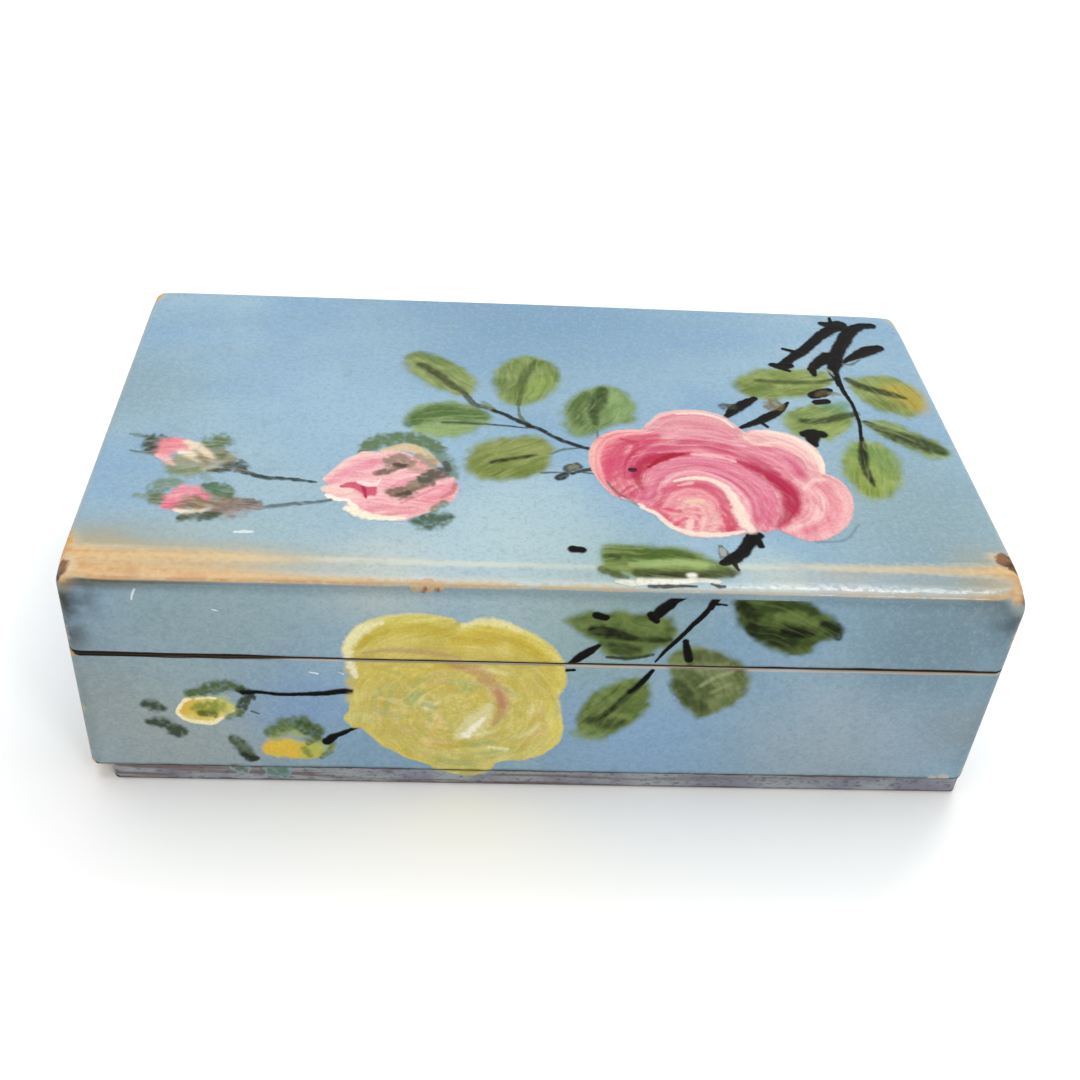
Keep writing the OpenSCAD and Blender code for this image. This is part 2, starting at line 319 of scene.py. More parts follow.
class PaintedWood(Finish):
    """The finish of the painted boards, with the noise and the places that its coats share."""

    def __init__(self, name):
        super().__init__(name)
        self.far_x, self.far_y = self.calc("ABSOLUTE", self.x), self.calc("ABSOLUTE", self.y)
        # Noise in broad and small patches, in specks and bits, and in marks along the boards
        self.large, self.patch = self.cloud(26.0, 3.0, 1.0), self.cloud(4.5, 4.0, 5.0)
        self.speck, self.bits = self.cloud(0.7, 3.0, 3.0), self.cloud(1.4, 4.0, 11.0)
        self.streak, self.rubs = self.cloud((60.0, 3.0, 3.0), 4.0), self.cloud((12.0, 1.1, 1.1), 4.0, 2.0)
        self.coarse = self.cloud((16.0, 5.0, 5.0), 3.0, 7.0)
        uneven = self.calc("ADD", self.times(self.rubs, 0.4), self.times(self.coarse, 0.25))
        self.uneven = self.calc("MULTIPLY_ADD", self.bits, 0.35, uneven)
        # Where ornament covers the blue, and where it doesn't
        self.cover = self.node("ShaderNodeAttribute", attribute_name="cover").outputs["Fac"]
        self.plain = self.calc("SUBTRACT", 1.0, self.cover)
        # The lid's top down to a ragged line in the front arris, and down to a soft one
        self.above = self.ease(self.stray(self.z, self.rubs, 0.35), top - 1.25, top - 0.95)
        self.on_top = self.ease(self.z, top - 1.6, top - 0.9)
        # Distance from the slope's upper line, which bends back towards the right end
        bend = self.along(self.x, [(left, -1.4), (10, -1.3), (48, 0.1), (right, 0.4)])
        self.upper_gap = self.away(self.calc("SUBTRACT", self.y, bend), slope_line)


# Places where the blue has another tint: middle, reach, colour, strength. The four on the lid's front are
# painted shade, the two pale ones near the front of the top a painted sheen, and the broad dark one over the
# back of the top painted shade
TINTS_SHADE_AND_SHEEN = [
    ((-80, front, 14), 44, (168, 178, 176), 0.9),
    ((-98, front, 26), 26, (158, 166, 162), 0.7),
    ((-52, front, 28), 22, (132, 166, 210), 0.75),
    ((22, front, 16), 30, (146, 180, 216), 0.8),
    ((68, front, 14), 36, (174, 186, 192), 0.7),
    ((96, front, 22), 18, (146, 160, 168), 0.8),
    # Painted shade on the lid's front, darker than the top as the light falls
    ((-70, front, 50), 34, (142, 166, 172), 0.7),
    ((10, front, 53), 34, (146, 172, 166), 0.8),
    ((-64, front, top - 6), 26, (116, 148, 166), 0.5),
    ((84, front, 48), 30, (114, 142, 158), 0.85),
    ((-34, front + 4, top - 0.4), 20, (208, 210, 196), 0.75),
    ((46, front + 4, top - 0.4), 13, (206, 216, 202), 0.55),
    ((78, front + 4, top - 0.4), 8, (138, 154, 158), 0.5),
    ((91, front + 4, top - 0.4), 10, (120, 116, 96), 0.85),
    ((84, -34, top), 46, (140, 164, 170), 0.8),
    # Painted sheen near the front of the top
    ((-62, -46, top), 44, (176, 198, 200), 0.6),
    ((-10, -44, top), 40, (190, 212, 214), 0.7),
    ((-40, 6, top), 46, (166, 196, 216), 0.6),
    # Painted shade over the back of the top
    ((0, 58, top), 80, (122, 158, 186), 0.75),
    ((-98, 10, top), 30, (142, 166, 176), 0.7),
]


def blue_coat(f):
    """Blue, brushed along the boards: broad patches, streaks, tints with painted shade and a painted sheen
    among them, a band of painted shade under the lid's front arris, and fine mottling."""
    blue = f.blend(f.ease(f.large, 0.32, 0.68), shade(140, 175, 203), shade(160, 190, 208))
    blue = f.blend(f.times(f.ease(f.streak, 0.4, 0.7), 0.4), blue, shade(152, 180, 194))
    for middle, reach, colour, strength in TINTS_SHADE_AND_SHEEN:
        blue = f.blend(f.times(f.spot(middle, reach, 0.95), strength), blue, shade(*colour))
    # Painted shade: a darker band on the lid's front just under its arris
    painted_shade_under_arris = f.times(f.ease(f.z, top - 5.0, top - 1.5), f.ease(f.y, front + 0.8, front + 0.3), 0.5)
    blue = f.blend(painted_shade_under_arris, blue, shade(98, 122, 134))
    for cloud, start, end, share, colour in [
        (f.speck, 0.48, 0.72, 0.24, (116, 144, 158)),
        (f.speck, 0.52, 0.25, 0.2, (188, 208, 212)),
        (f.patch, 0.55, 0.8, 0.3, (136, 160, 170)),
        (f.bits, 0.5, 0.68, 0.2, (126, 152, 162)),
        (f.bits, 0.48, 0.32, 0.16, (182, 202, 208)),
    ]:
        blue = f.blend(f.times(f.ease(cloud, start, end), share), blue, shade(*colour))
    return blue


def ornament(f):
    """The colour of the brushed films, lighter and darker by the grain in it."""
    colour = f.node("ShaderNodeAttribute", attribute_name="paint").outputs["Color"]
    grit = f.ease(f.cloud(0.6, 3.0, 9.0), 0.34, 0.66)
    return f.dim(colour, f.calc("MULTIPLY_ADD", grit, -0.12, 1.05))


def with_grime_and_shade(f, paint):
    """Grime on the lid's front by its ends, along the seam and above the bottom board, and painted shade in
    the seam and in the joint over the bottom board.
    """
    seam_gap = f.stray(f.away(f.z, seam), f.rubs, 0.4)
    seam_dirt = f.along(f.x, [(left, 1.0), (-68, 0.9), (-52, 0.35), (40, 0.25), (62, 0.5), (right, 0.6)])
    foot_gap = f.away(f.z, wall_low[2])
    grime = f.total("MAXIMUM", [
        f.spot((left - 1, front, top - 6), 14, 0.9),
        f.times(f.spot((left - 4, front, top - 10), 34, 0.95), 0.2),
        f.times(f.spot((left, front, top - 16), 9, 0.9), 0.8),
        f.times(f.spot((right, front, top - 7), 11, 0.9), 0.7),
        f.times(f.ease(seam_gap, 1.0, 0.3), seam_dirt),
        f.times(f.ease(f.stray(foot_gap, f.rubs, 0.5), 1.2, 0.2), 0.6),
        f.times(f.ease(f.line(f.far_x, right, f.far_y, back), 5.0, 0.5), 0.25),
    ])
    paint = f.blend(f.times(grime, f.ease(f.patch, 0.1, 0.6)), paint, shade(66, 66, 60))
    # Painted shade: a near-black line in the seam between lid and wall
    seam_shade_reach = f.along(f.x, [(left, 0.7), (-66, 0.6), (-50, 0.25), (30, 0.2), (58, 0.4), (78, 0.55),
                              (right, 0.4)])
    paint = f.blend(f.ease(f.calc("SUBTRACT", seam_gap, seam_shade_reach), 0.15, -0.05), paint, shade(30, 27, 24))
    # Painted shade: a dark line in the joint over the bottom board
    foot_joint_shade = f.ease(f.stray(foot_gap, f.rubs, 0.3), 0.55, 0.25)
    return f.blend(f.times(foot_joint_shade, 0.85), paint, shade(46, 41, 39))


def slope_wear(f):
    """Wear on the slope: a stripe behind its front arris and one along its upper line, wider towards the
    ends, and a wash between them. Gives the shares worn to the wood and worn thin, and the lower stripe."""
    behind = f.calc("SUBTRACT", f.y, front + 0.7)
    low_width = f.along(f.x, [(left, 5.0), (-94, 3.0), (-70, 2.3), (-45, 1.0), (-28, 0.6), (0, 0.1),
                              (14, 0.1), (22, -0.4), (60, -0.2), (84, 0.1), (94, 0.9), (right, 5.0)])
    low_gap = f.calc("SUBTRACT", f.stray(behind, f.uneven, 2.4), low_width)
    low_stripe = f.times(f.ease(low_gap, 1.0, -0.7), f.above)
    high_width = f.along(f.x, [(left, 3.0), (-92, 1.7), (-70, 1.4), (-55, 1.0), (-30, 0.5), (-12, 0.0),
                               (0, -1.2), (40, -0.9), (48, 0.0), (62, 0.5), (80, 0.4), (92, 1.2),
                               (right, 3.2)])
    high_gap = f.calc("SUBTRACT", f.stray(f.upper_gap, f.uneven, 2.4), high_width)
    high_share = f.along(f.x, [(left, 1.0), (-62, 0.7), (-44, 0.25), (-30, 0.0), (44, 0.0), (54, 0.5),
                               (66, 0.8), (right, 1.0)])
    high_stripe = f.times(f.ease(high_gap, 1.8, -1.2), f.on_top, high_share)
    between = f.times(f.ease(f.stray(f.y, f.uneven, 2.0), slope_line + 1.5, slope_line - 1.5), f.above)
    wash = f.along(f.x, [(left, 0.95), (-84, 0.8), (-66, 0.5), (-50, 0.14), (-24, 0.04), (44, 0.05),
                         (60, 0.3), (72, 0.12), (90, 0.1), (right, 0.4)])
    wash = f.times(between, wash, f.ease(f.uneven, 0.3, 0.52))
    thin = f.total("MAXIMUM", [
        f.times(f.ease(low_gap, 2.2, 0.0), f.above),
        f.times(f.ease(high_gap, 2.2, 0.2), f.on_top, high_share),
        f.times(wash, 1.5),
    ])
    return f.total("MAXIMUM", [low_stripe, high_stripe, wash]), thin, low_stripe


def edge_wear(f):
    """Wear over the ends' top edges, widest at the front corners, in small breaks elsewhere and in chips.
    Gives the shares worn to the wood, worn thin and worn deep."""
    end_edge = f.line(f.far_x, right - 0.6, f.z, top - 0.6)
    end_width = f.along(f.y, [(front, 3.0), (front + 8, 2.4), (front + 12, 1.2), (front + 17, -0.8),
                              (-20, -1.4), (back - 9, -1.0), (back - 3, 1.6), (back, 3.0)])
    end_wear = f.ease(f.calc("SUBTRACT", f.stray(end_edge, f.patch, 2.0), end_width), 1.0, -0.6)
    end_wear = f.times(end_wear, f.ease(f.stray(f.z, f.patch, 1.0), top - 3.4, top - 1.8))
    post_edge = f.line(f.far_x, right - 0.8, f.far_y, back - 0.8)
    rear_edge = f.line(f.y, back - 0.7, f.z, top - 0.7)
    breaks = f.ease(f.stray(f.calc("MINIMUM", post_edge, rear_edge), f.patch, 2.2), 0.1, -0.5)
    chips = [((-27.4, front + 0.4, top - 0.9), 1.7), ((-25.2, front + 0.5, top - 0.7), 2.2),
             ((-22.8, front + 0.4, top - 0.9), 1.5), ((left, front, seam_low - 0.5), 2.0),
             ((right, front, wall_low[2]), 1.8), ((left, front, wall_low[2]), 2.0)]
    chipped = f.total("MAXIMUM", [f.spot(middle, reach, 0.5) for middle, reach in chips])
    chipped = f.ease(f.calc("ADD", chipped, f.bits), 0.85, 1.05)
    deep = f.calc("MAXIMUM", end_wear, chipped)
    thin = f.times(f.ease(f.calc("SUBTRACT", end_edge, end_width), 3.0, 0.0), 0.7)
    return f.calc("MAXIMUM", deep, breaks), thin, deep


def rubbed_thin(f, paint, thin):
    """A dull haze on the lid behind the slope at the two ends, paint rubbed thin back from the slope at the
    left, and undercoat where it is thin."""
    haze = f.along(f.x, [(left, 0.85), (-90, 0.75), (-78, 0.35), (-66, 0.1), (-56, 0.0), (82, 0.0),
                         (91, 0.5), (right, 0.7)])
    haze = f.times(haze, f.ease(f.stray(f.y, f.coarse, 5.0), slope_line + 15.0, slope_line + 1.0), f.on_top)
    paint = f.blend(f.times(haze, f.plain), paint, shade(172, 166, 138))
    rubbed = f.along(f.x, [(left, 1.0), (-84, 0.8), (-62, 0.45), (-44, 0.12), (-30, 0.0), (right, 0.0)])
    back_from_slope = f.ease(f.stray(f.y, f.uneven, 4.0), slope_line + 6.0, slope_line - 0.5)
    paint = f.blend(f.times(rubbed, back_from_slope, f.on_top, f.plain), paint, shade(190, 174, 136))
    undercoat = f.blend(f.ease(f.large, 0.35, 0.65), shade(204, 206, 196), shade(212, 202, 174))
    return f.blend(f.times(thin, f.plain, 0.55), paint, undercoat)


def worn_to_wood(f, paint, worn, low_stripe, deep):
    """Wood in the worn places: pale cream to orange at the left, greyer and darker at the right, and browner
    in patches where the wear is deep."""
    warm = f.blend(f.ease(f.uneven, 0.38, 0.62), shade(222, 190, 140), shade(213, 162, 104))
    grey = f.blend(f.ease(f.uneven, 0.38, 0.62), shade(198, 180, 144), shade(178, 154, 116))
    warmth = f.along(f.x, [(left, 1.0), (-66, 0.9), (-44, 0.45), (0, 0.25), (50, 0.1), (84, 0.2),
                           (right, 0.9)])
    tan = f.blend(warmth, grey, warm)
    tan = f.blend(f.times(f.ease(f.bits, 0.52, 0.7), 0.45), tan, shade(198, 154, 106))
    tan = f.blend(f.times(f.ease(f.bits, 0.46, 0.3), 0.3), tan, shade(220, 206, 176))
    paint = f.blend(worn, paint, tan)
    low_deep = f.times(low_stripe, f.calc("MULTIPLY_ADD", warmth, 0.8, 0.1))
    deep = f.calc("MAXIMUM", low_deep, deep)
    return f.blend(f.times(f.ease(f.patch, 0.45, 0.7), deep, 0.5), paint, shade(190, 132, 82))


def worn_ridge_and_highlight(f, paint):
    """The line on which the slope begins, rubbed to the undercoat, with a painted highlight along the ridge.
    """
    ridge = f.along(f.x, [(left, 0.5), (-84, 0.6), (-60, 0.7), (-46, 0.75), (-12, 0.7), (2, 0.45), (30, 0.4),
                          (42, 0.7), (66, 0.55), (right, 0.4)])
    ridge_gap = f.stray(f.upper_gap, f.uneven, 1.4)
    ridge = f.times(ridge, f.ease(ridge_gap, 1.5, 0.2), f.on_top, f.ease(f.coarse, 0.25, 0.55))
    # Pale blue-white in the middle, a painted highlight over the worn undercoat; cream to tan towards the
    # ends
    polished = f.along(f.x, [(left, 1.0), (-64, 0.8), (-44, 0.15), (-10, 0.0), (44, 0.1), (60, 0.4),
                             (80, 0.7), (right, 1.0)])
    polished = f.blend(polished, shade(214, 220, 206), shade(226, 196, 146))
    return f.blend(f.times(ridge, f.plain), paint, polished)


def dirty_arris(f, paint):
    """Dirt in the arris under the lower stripe, and a brown smear below it at the left."""
    front_face = f.ease(f.y, front + 1, front)
    arris = f.ease(f.stray(f.away(f.z, top - 1.55), f.rubs, 0.3), 0.5, 0.1)
    arris_dirt = f.along(f.x, [(left, 1.0), (-82, 0.8), (-66, 0.35), (-20, 0.15), (10, 0.0), (84, 0.0),
                               (92, 0.4), (right, 0.7)])
    paint = f.blend(f.times(arris, front_face, arris_dirt, 0.8), paint, shade(92, 70, 50))
    below = f.calc("SUBTRACT", top - 1.4, f.z)
    fading = f.times(f.ease(f.stray(below, f.rubs, 0.8), 2.8, 0.2), f.ease(below, -0.4, 0.0))
    smear = f.along(f.x, [(left, 0.8), (-90, 0.65), (-80, 0.35), (-68, 0.1), (-60, 0.0), (right, 0.0)])
    return f.blend(f.times(fading, front_face, smear), paint, shade(98, 86, 62))


# Brown hollows in the two front corners, painted on the board and not cut into it: each has a pale rim, worn
# wood that also paints the lit lip, and a dark edge that is painted shade; the chip's dark underside and a
# pale
# scrape at the foot of the wall: middle, reach, softness, colour
HOLLOWS = [
    ((left + 1.6, front + 3.6, top - 0.8), 3.8, 0.4, (222, 196, 158)),
    ((left + 0.9, front + 3.3, top - 1.2), 2.6, 0.4, (120, 76, 50)),
    ((left + 0.4, front + 2.2, top - 2.2), 1.8, 0.5, (84, 56, 42)),
    ((right - 4.4, front + 13.4, top), 2.6, 0.7, (204, 190, 160)),
    ((right - 2.4, front + 12.2, top - 0.2), 2.8, 0.4, (70, 46, 34)),
    ((right - 3.2, front + 12.8, top - 0.2), 2.0, 0.5, (150, 104, 74)),
    ((right - 1.4, front + 9.8, top - 0.6), 1.9, 0.4, (84, 54, 36)),
    ((right - 0.6, front + 1.8, top - 2.4), 2.4, 0.7, (128, 92, 50)),
    ((-25.8, front, top - 1.8), 1.1, 0.6, (132, 86, 54)),
    ((-23.2, front, top - 1.7), 0.9, 0.6, (134, 90, 58)),
    ((right - 8.0, front, wall_low[2] + 0.3), 1.7, 0.6, (208, 200, 188)),
    ((right - 5.2, front, wall_low[2] + 0.4), 1.7, 0.6, (208, 200, 188)),
]


def with_hollows(f, paint):
    """The painted hollows, with painted light on their rims and painted shade on their dark edges, the
    scrapes, and the pale lip under the seam.
    """
    for middle, reach, soft, colour in HOLLOWS:
        paint = f.blend(f.times(f.spot(middle, reach, soft, f.bits), 0.85), paint, shade(*colour))
    lip_width = f.along(f.x, [(left, -0.2), (-60, -0.1), (-52, 0.2), (34, 0.35), (48, 0.45), (right, 0.25)])
    lip_gap = f.stray(f.away(f.z, seam_low - 0.35), f.rubs, 0.25)
    lip = f.ease(f.calc("SUBTRACT", lip_gap, lip_width), 0.2, -0.1)
    lip = f.times(lip, f.calc("MULTIPLY_ADD", f.cover, -0.45, 0.6))
    return f.blend(lip, paint, shade(220, 200, 182))


def bare_inside(f):
    """Bare wood inside, on the rims at the seam and on the undersides: its share, colour and grain."""
    within = f.times(
        f.ease(f.far_x, inner_x + 0.2, inner_x + 0.05),
        f.ease(f.far_y, inner_y + 0.2, inner_y + 0.05),
        f.ease(f.z, top - 2, top - 4),
    )
    level = f.ease(f.calc("ABSOLUTE", f.own_normal()[2]), 0.6, 0.85)
    rim = f.times(level, f.ease(f.away(f.z, seam), 0.8, 0.6))
    under = f.times(level, f.ease(f.z, wall_low[2] + 0.3, wall_low[2] + 0.1))
    in_rebate = f.ease(f.far_y, inner_y + REBATE + 0.3, inner_y + REBATE)
    end_board = f.times(f.ease(f.far_x, inner_x - 0.4, inner_x - 0.1), in_rebate)
    wood, grain = f.bare_wood(RAW_LIGHT, RAW_DARK, end_board)
    outward = f.calc("MINIMUM", f.away(f.far_x, right), f.away(f.far_y, back))
    handled = f.times(rim, f.ease(outward, 3.0, 0.8), 0.85)
    return f.total("MAXIMUM", [within, rim, under]), f.blend(handled, wood, shade(64, 50, 40)), grain


def satin(f, worn, bare, grain):
    """Satin paint, polished by hands along the front edge and duller where it is bare, with the relief of
    brush marks, hollows and grain."""
    dull = f.calc("MAXIMUM", bare, f.times(worn, 0.6))
    polish = f.times(f.ease(f.y, front + 4.5, front + 1.5), f.ease(f.z, top - 2.4, top - 1.6))
    gloss = f.calc("MULTIPLY_ADD", polish, -0.16, f.calc("MULTIPLY_ADD", f.large, 0.1, 0.36))
    f.plug(f.shader.inputs["Roughness"], f.calc("ADD", gloss, f.times(dull, 0.25)))
    f.shader.inputs["Specular IOR Level"].default_value = 0.05
    f.shader.inputs["Coat Roughness"].default_value = 0.2
    coat = f.times(f.ease(f.bits, 0.3, 0.6), f.calc("MULTIPLY_ADD", f.cover, -0.7, 1.0))
    f.plug(f.shader.inputs["Coat Weight"], f.times(polish, coat))
    relief = f.total("ADD", [
        f.times(f.streak, 0.5),
        f.times(f.patch, 0.25),
        f.times(f.calc("SUBTRACT", 1.0, worn), 0.3),
        f.times(grain, bare, 0.6),
        f.times(f.bits, polish, 0.8),
        f.times(f.speck, 0.06),
    ])
    f.bump(relief, 0.12)


def painted_wood():
    """Brushed blue oil paint on wood. The coats, from the wood up: bare wood, pale undercoat, blue, and the
    ornament where the attribute cover says so; wear opens them again along the edges."""
    f = PaintedWood("painted_wood")
    paint = with_grime_and_shade(f, f.blend(f.cover, blue_coat(f), ornament(f)))
    slope_worn, slope_thin, low_stripe = slope_wear(f)
    edge_worn, edge_thin, edge_deep = edge_wear(f)
    worn = f.calc("MAXIMUM", slope_worn, edge_worn)
    paint = rubbed_thin(f, paint, f.calc("MAXIMUM", slope_thin, edge_thin))
    paint = worn_to_wood(f, paint, worn, low_stripe, edge_deep)
    paint = with_hollows(f, dirty_arris(f, worn_ridge_and_highlight(f, paint)))
    bare, wood, grain = bare_inside(f)
    f.plug(f.shader.inputs["Base Color"], f.blend(bare, paint, wood))
    satin(f, worn, bare, grain)
    return f.material


PAINTED = painted_wood()
for board in ("front_wall", "back_wall", "left_wall", "right_wall"):
    dress(board, PAINTED)

# Corner pins of the walls
# Short steel pins through the end boards, punched flush and painted over with the box.
dress("wall_corner_pins", PAINTED)


# Hinges
# Two small butt hinges of rolled brass sheet, let into the rims of the back boards.
# The knuckles turn on pins that are riveted over, and slotted brass screws hold the leaves.
def old_brass():
    """Dull brass, darker in soft patches, with rolling marks along the leaf."""
    f = Finish("old_brass")
    tarnish = f.ease(f.cloud(2.5, 4.0), 0.4, 0.65)
    rolled = f.cloud((9.0, 0.3, 0.3), 3.0)
    f.plug(f.shader.inputs["Base Color"], f.blend(tarnish, shade(192, 158, 92), shade(132, 102, 60)))
    f.plug(f.shader.inputs["Roughness"], f.calc("ADD", 0.3, f.times(tarnish, 0.25)))
    f.shader.inputs["Metallic"].default_value = 1.0
    f.bump(rolled, 0.02)
    return f.material


BRASS = old_brass()
for side in ("left", "right"):
    for metal in ("box_leaf", "lid_leaf", "pin"):
        dress(f"{side}_hinge_{metal}", BRASS)
dress("box_hinge_screws", BRASS)
dress("lid_hinge_screws", BRASS)

# Lid rails
# The upper strip of the same four boards, which the saw cut parted from the walls.
for rail in ("lid_front_rail", "lid_back_rail", "lid_left_rail", "lid_right_rail", "lid_corner_pins"):
    dress(rail, PAINTED)

# Lid top board
# One board glued over the rails, its edges rounded over and its front planed to a shallow slope.
# Years of handling have rounded the front corners further and dented the front edge.
SLOPE_DROP = 0.7
PLAN_RADIUS = 3.0
# Radius of the edge along the front, along the ends and back, and what wear adds within reach of a corner
FRONT_RADIUS, SIDE_RADIUS = 1.4, 2.5
CORNER_REACH = 6.0
WORN_CORNERS = [((left, front), 1.6), ((right, front), 3.0), ((left, back), 0.6), ((right, back), 0.9)]
# Dents in the front edge: how far back they reach, and place along it, length, depth
DENT_REACH = 1.6
DENTS = [(-26.0, 3.4, 0.55), (-72.0, 5.0, 0.12), (-48.0, 7.0, 0.10), (-4.0, 2.0, 0.22), (22.0, 6.0, 0.15),
         (31.0, 3.0, 0.2), (58.0, 5.0, 0.12), (77.0, 2.2, 0.18), (88.0, 3.0, 0.2)]
noise_table = np.random.default_rng(7).random((64, 64))


def smooth(share):
    """A soft step from 0 to 1: three times the square less twice the cube of the share."""
    share = np.clip(share, 0, 1)
    return share * share * (3 - 2 * share)


def ripple(u, v):
    """Value noise from 0 to 1: a table of random heights, smoothly interpolated between whole u and v."""
    column, row = np.floor(u).astype(int), np.floor(v).astype(int)
    du, dv = smooth(u - column), smooth(v - row)
    here, after = (noise_table[row % 64, (column + k) % 64] for k in (0, 1))
    here_up, after_up = (noise_table[(row + 1) % 64, (column + k) % 64] for k in (0, 1))
    return (here * (1 - du) + after * du) * (1 - dv) + (here_up * (1 - du) + after_up * du) * dv


def lid_height(x, y):
    """Height of the lid's top over (x, y): level, with the slope along the front and the board's slight
    waves, less a round edge: at a distance d inside the outline, a radius R takes off R less the root of
    d (2 R - d)."""
    ends = np.minimum(x - left, right - x)
    sides = np.minimum(y - front, back - y)
    in_corner = (ends < PLAN_RADIUS) & (sides < PLAN_RADIUS)
    round_corner = PLAN_RADIUS - np.hypot(PLAN_RADIUS - ends, PLAN_RADIUS - sides)
    inside = np.maximum(np.where(in_corner, round_corner, np.minimum(ends, sides)), 0)
    share = ends / np.maximum(ends + (y - front), 1e-6)
    radius = SIDE_RADIUS + (FRONT_RADIUS - SIDE_RADIUS) * smooth(share)
    for (cx, cy), extra in WORN_CORNERS:
        radius = radius + extra * np.exp(-((x - cx) ** 2 + (y - cy) ** 2) / CORNER_REACH**2)
    depth = np.minimum(inside, radius)
    rounded = radius - np.sqrt(np.maximum(depth * (2 * radius - depth), 0))
    slope = SLOPE_DROP * np.clip((slope_line - y) / SLOPE_WIDTH, 0, 1) ** 2
    waves = 0.10 * (ripple(x / 23 + 5, y / 17 + 9) - 0.5) + 0.05 * (ripple(x / 7, y / 6) - 0.5)
    nicks = sum(deep * np.exp(-((x - at) / (0.5 * length)) ** 2) * np.exp(-((y - front) / DENT_REACH) ** 2)
                for at, length, deep in DENTS)
    return top - slope - rounded - nicks + waves * smooth(inside / 4)


def grid_faces(rows, columns):
    """Squares of a grid, as the numbers of their corners, counted row by row."""
    corner = np.arange(rows * columns).reshape(rows, columns)
    return np.stack([corner[:-1, :-1], corner[:-1, 1:], corner[1:, 1:], corner[1:, :-1]], -1).reshape(-1, 4)


def mesh_piece(name, points, faces, chart, material, body):
    """A smooth-shaded piece from points in millimetres and lists of corners, riding on a body. The chart lays
    its corners flat, face by face, within a unit square."""
    mesh = bpy.data.meshes.new(name)
    mesh.from_pydata((points * MM).tolist(), [], [list(face) for face in faces])
    mesh.shade_smooth()
    mesh.uv_layers.new(name="OFBake").data.foreach_set("uv", chart.ravel())
    mesh.materials.append(material)
    piece = bpy.data.objects.new(name, mesh)
    bpy.context.scene.collection.objects.link(piece)
    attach(piece, body)
    return piece


def edge_steps(inner, fine):
    """Places from the middle of a board out to its rim and down its side: even inside, closer towards the
    rim. The steps past the rim are marked by how far down the side they lie, from 0 to 1."""
    rim = inner + PLAN_RADIUS * np.sin(np.linspace(0, math.pi / 2, 10))[1:]
    places = np.concatenate([fine, rim, np.full(4, rim[-1])])
    return places, np.concatenate([np.zeros(len(fine) + len(rim)), np.linspace(0.25, 1, 4)])


def lid_board():
    """A grid over the board's top that is carried over its rounded outline and down its sides. In each corner
    the square of the grid becomes a quarter disc: the larger offset is the distance, and their ratio the
    angle."""
    half_x, half_y = right - PLAN_RADIUS, back - PLAN_RADIUS
    out_x, down_x = edge_steps(half_x, np.linspace(0, half_x, 243))
    out_back, down_back = edge_steps(half_y, np.linspace(0, half_y, 40))
    # Closer from 44 mm in front of the middle, where the dents are
    to_front = np.concatenate([np.linspace(0, 44, 30), np.linspace(44, half_y, 31)[1:]])
    out_front, down_front = edge_steps(half_y, to_front)
    x = np.concatenate([-out_x[:0:-1], out_x])
    y = np.concatenate([-out_front[:0:-1], out_back])
    down_x = np.concatenate([down_x[:0:-1], down_x])
    down_y = np.concatenate([down_front[:0:-1], down_back])
    x, y = np.meshgrid(x, y)
    down = np.maximum(*np.meshgrid(down_x, down_y))
    past_x, past_y = np.abs(x) - half_x, np.abs(y) - half_y
    corner = (past_x > 0) & (past_y > 0)
    far, near = np.maximum(past_x, past_y), np.minimum(past_x, past_y)
    turn = math.pi / 4 * np.where(corner, near / np.where(corner, far, 1), 0)
    turn = np.where(past_x >= past_y, turn, math.pi / 2 - turn)
    x = np.where(corner, np.sign(x) * (half_x + far * np.cos(turn)), x)
    y = np.where(corner, np.sign(y) * (half_y + far * np.sin(turn)), y)
    z = lid_height(x, y)
    z = z + (lid_low[2] - z) * down
    points = np.stack([x, y, z], -1).reshape(-1, 3)
    rows, columns = x.shape
    number = np.arange(rows * columns).reshape(rows, columns)
    rim = np.concatenate([number[0, :-1], number[:-1, -1], number[-1, :0:-1], number[:0:-1, 0]])
    underside = len(points) + np.arange(len(rim))[::-1]
    grid = grid_faces(rows, columns)
    faces = [*grid.tolist(), underside.tolist()]
    # The grid laid flat, and the underside, smaller, above it
    laid = np.stack(np.meshgrid(np.linspace(0, 1, columns), np.linspace(0, 0.6, rows)), -1).reshape(-1, 2)
    below = 0.6 * (points[rim][::-1, :2] - [left, front]) / (right - left) + [0, 0.62]
    chart = np.concatenate([laid[grid.ravel()], below])
    points = np.concatenate([points, points[rim]])
    return mesh_piece("lid_board", points, faces, chart, PAINTED, "lid")


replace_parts(lid_board(), "lid_top_board")

# Ornament of the lid
# Roses, buds and leaves in oil colour, put on freehand with round brushes over the dry blue: dabbed leaves
# first, then stems and twigs, then petals in loaded strokes that stand a little proud of the board.
picks = np.random.default_rng(11)


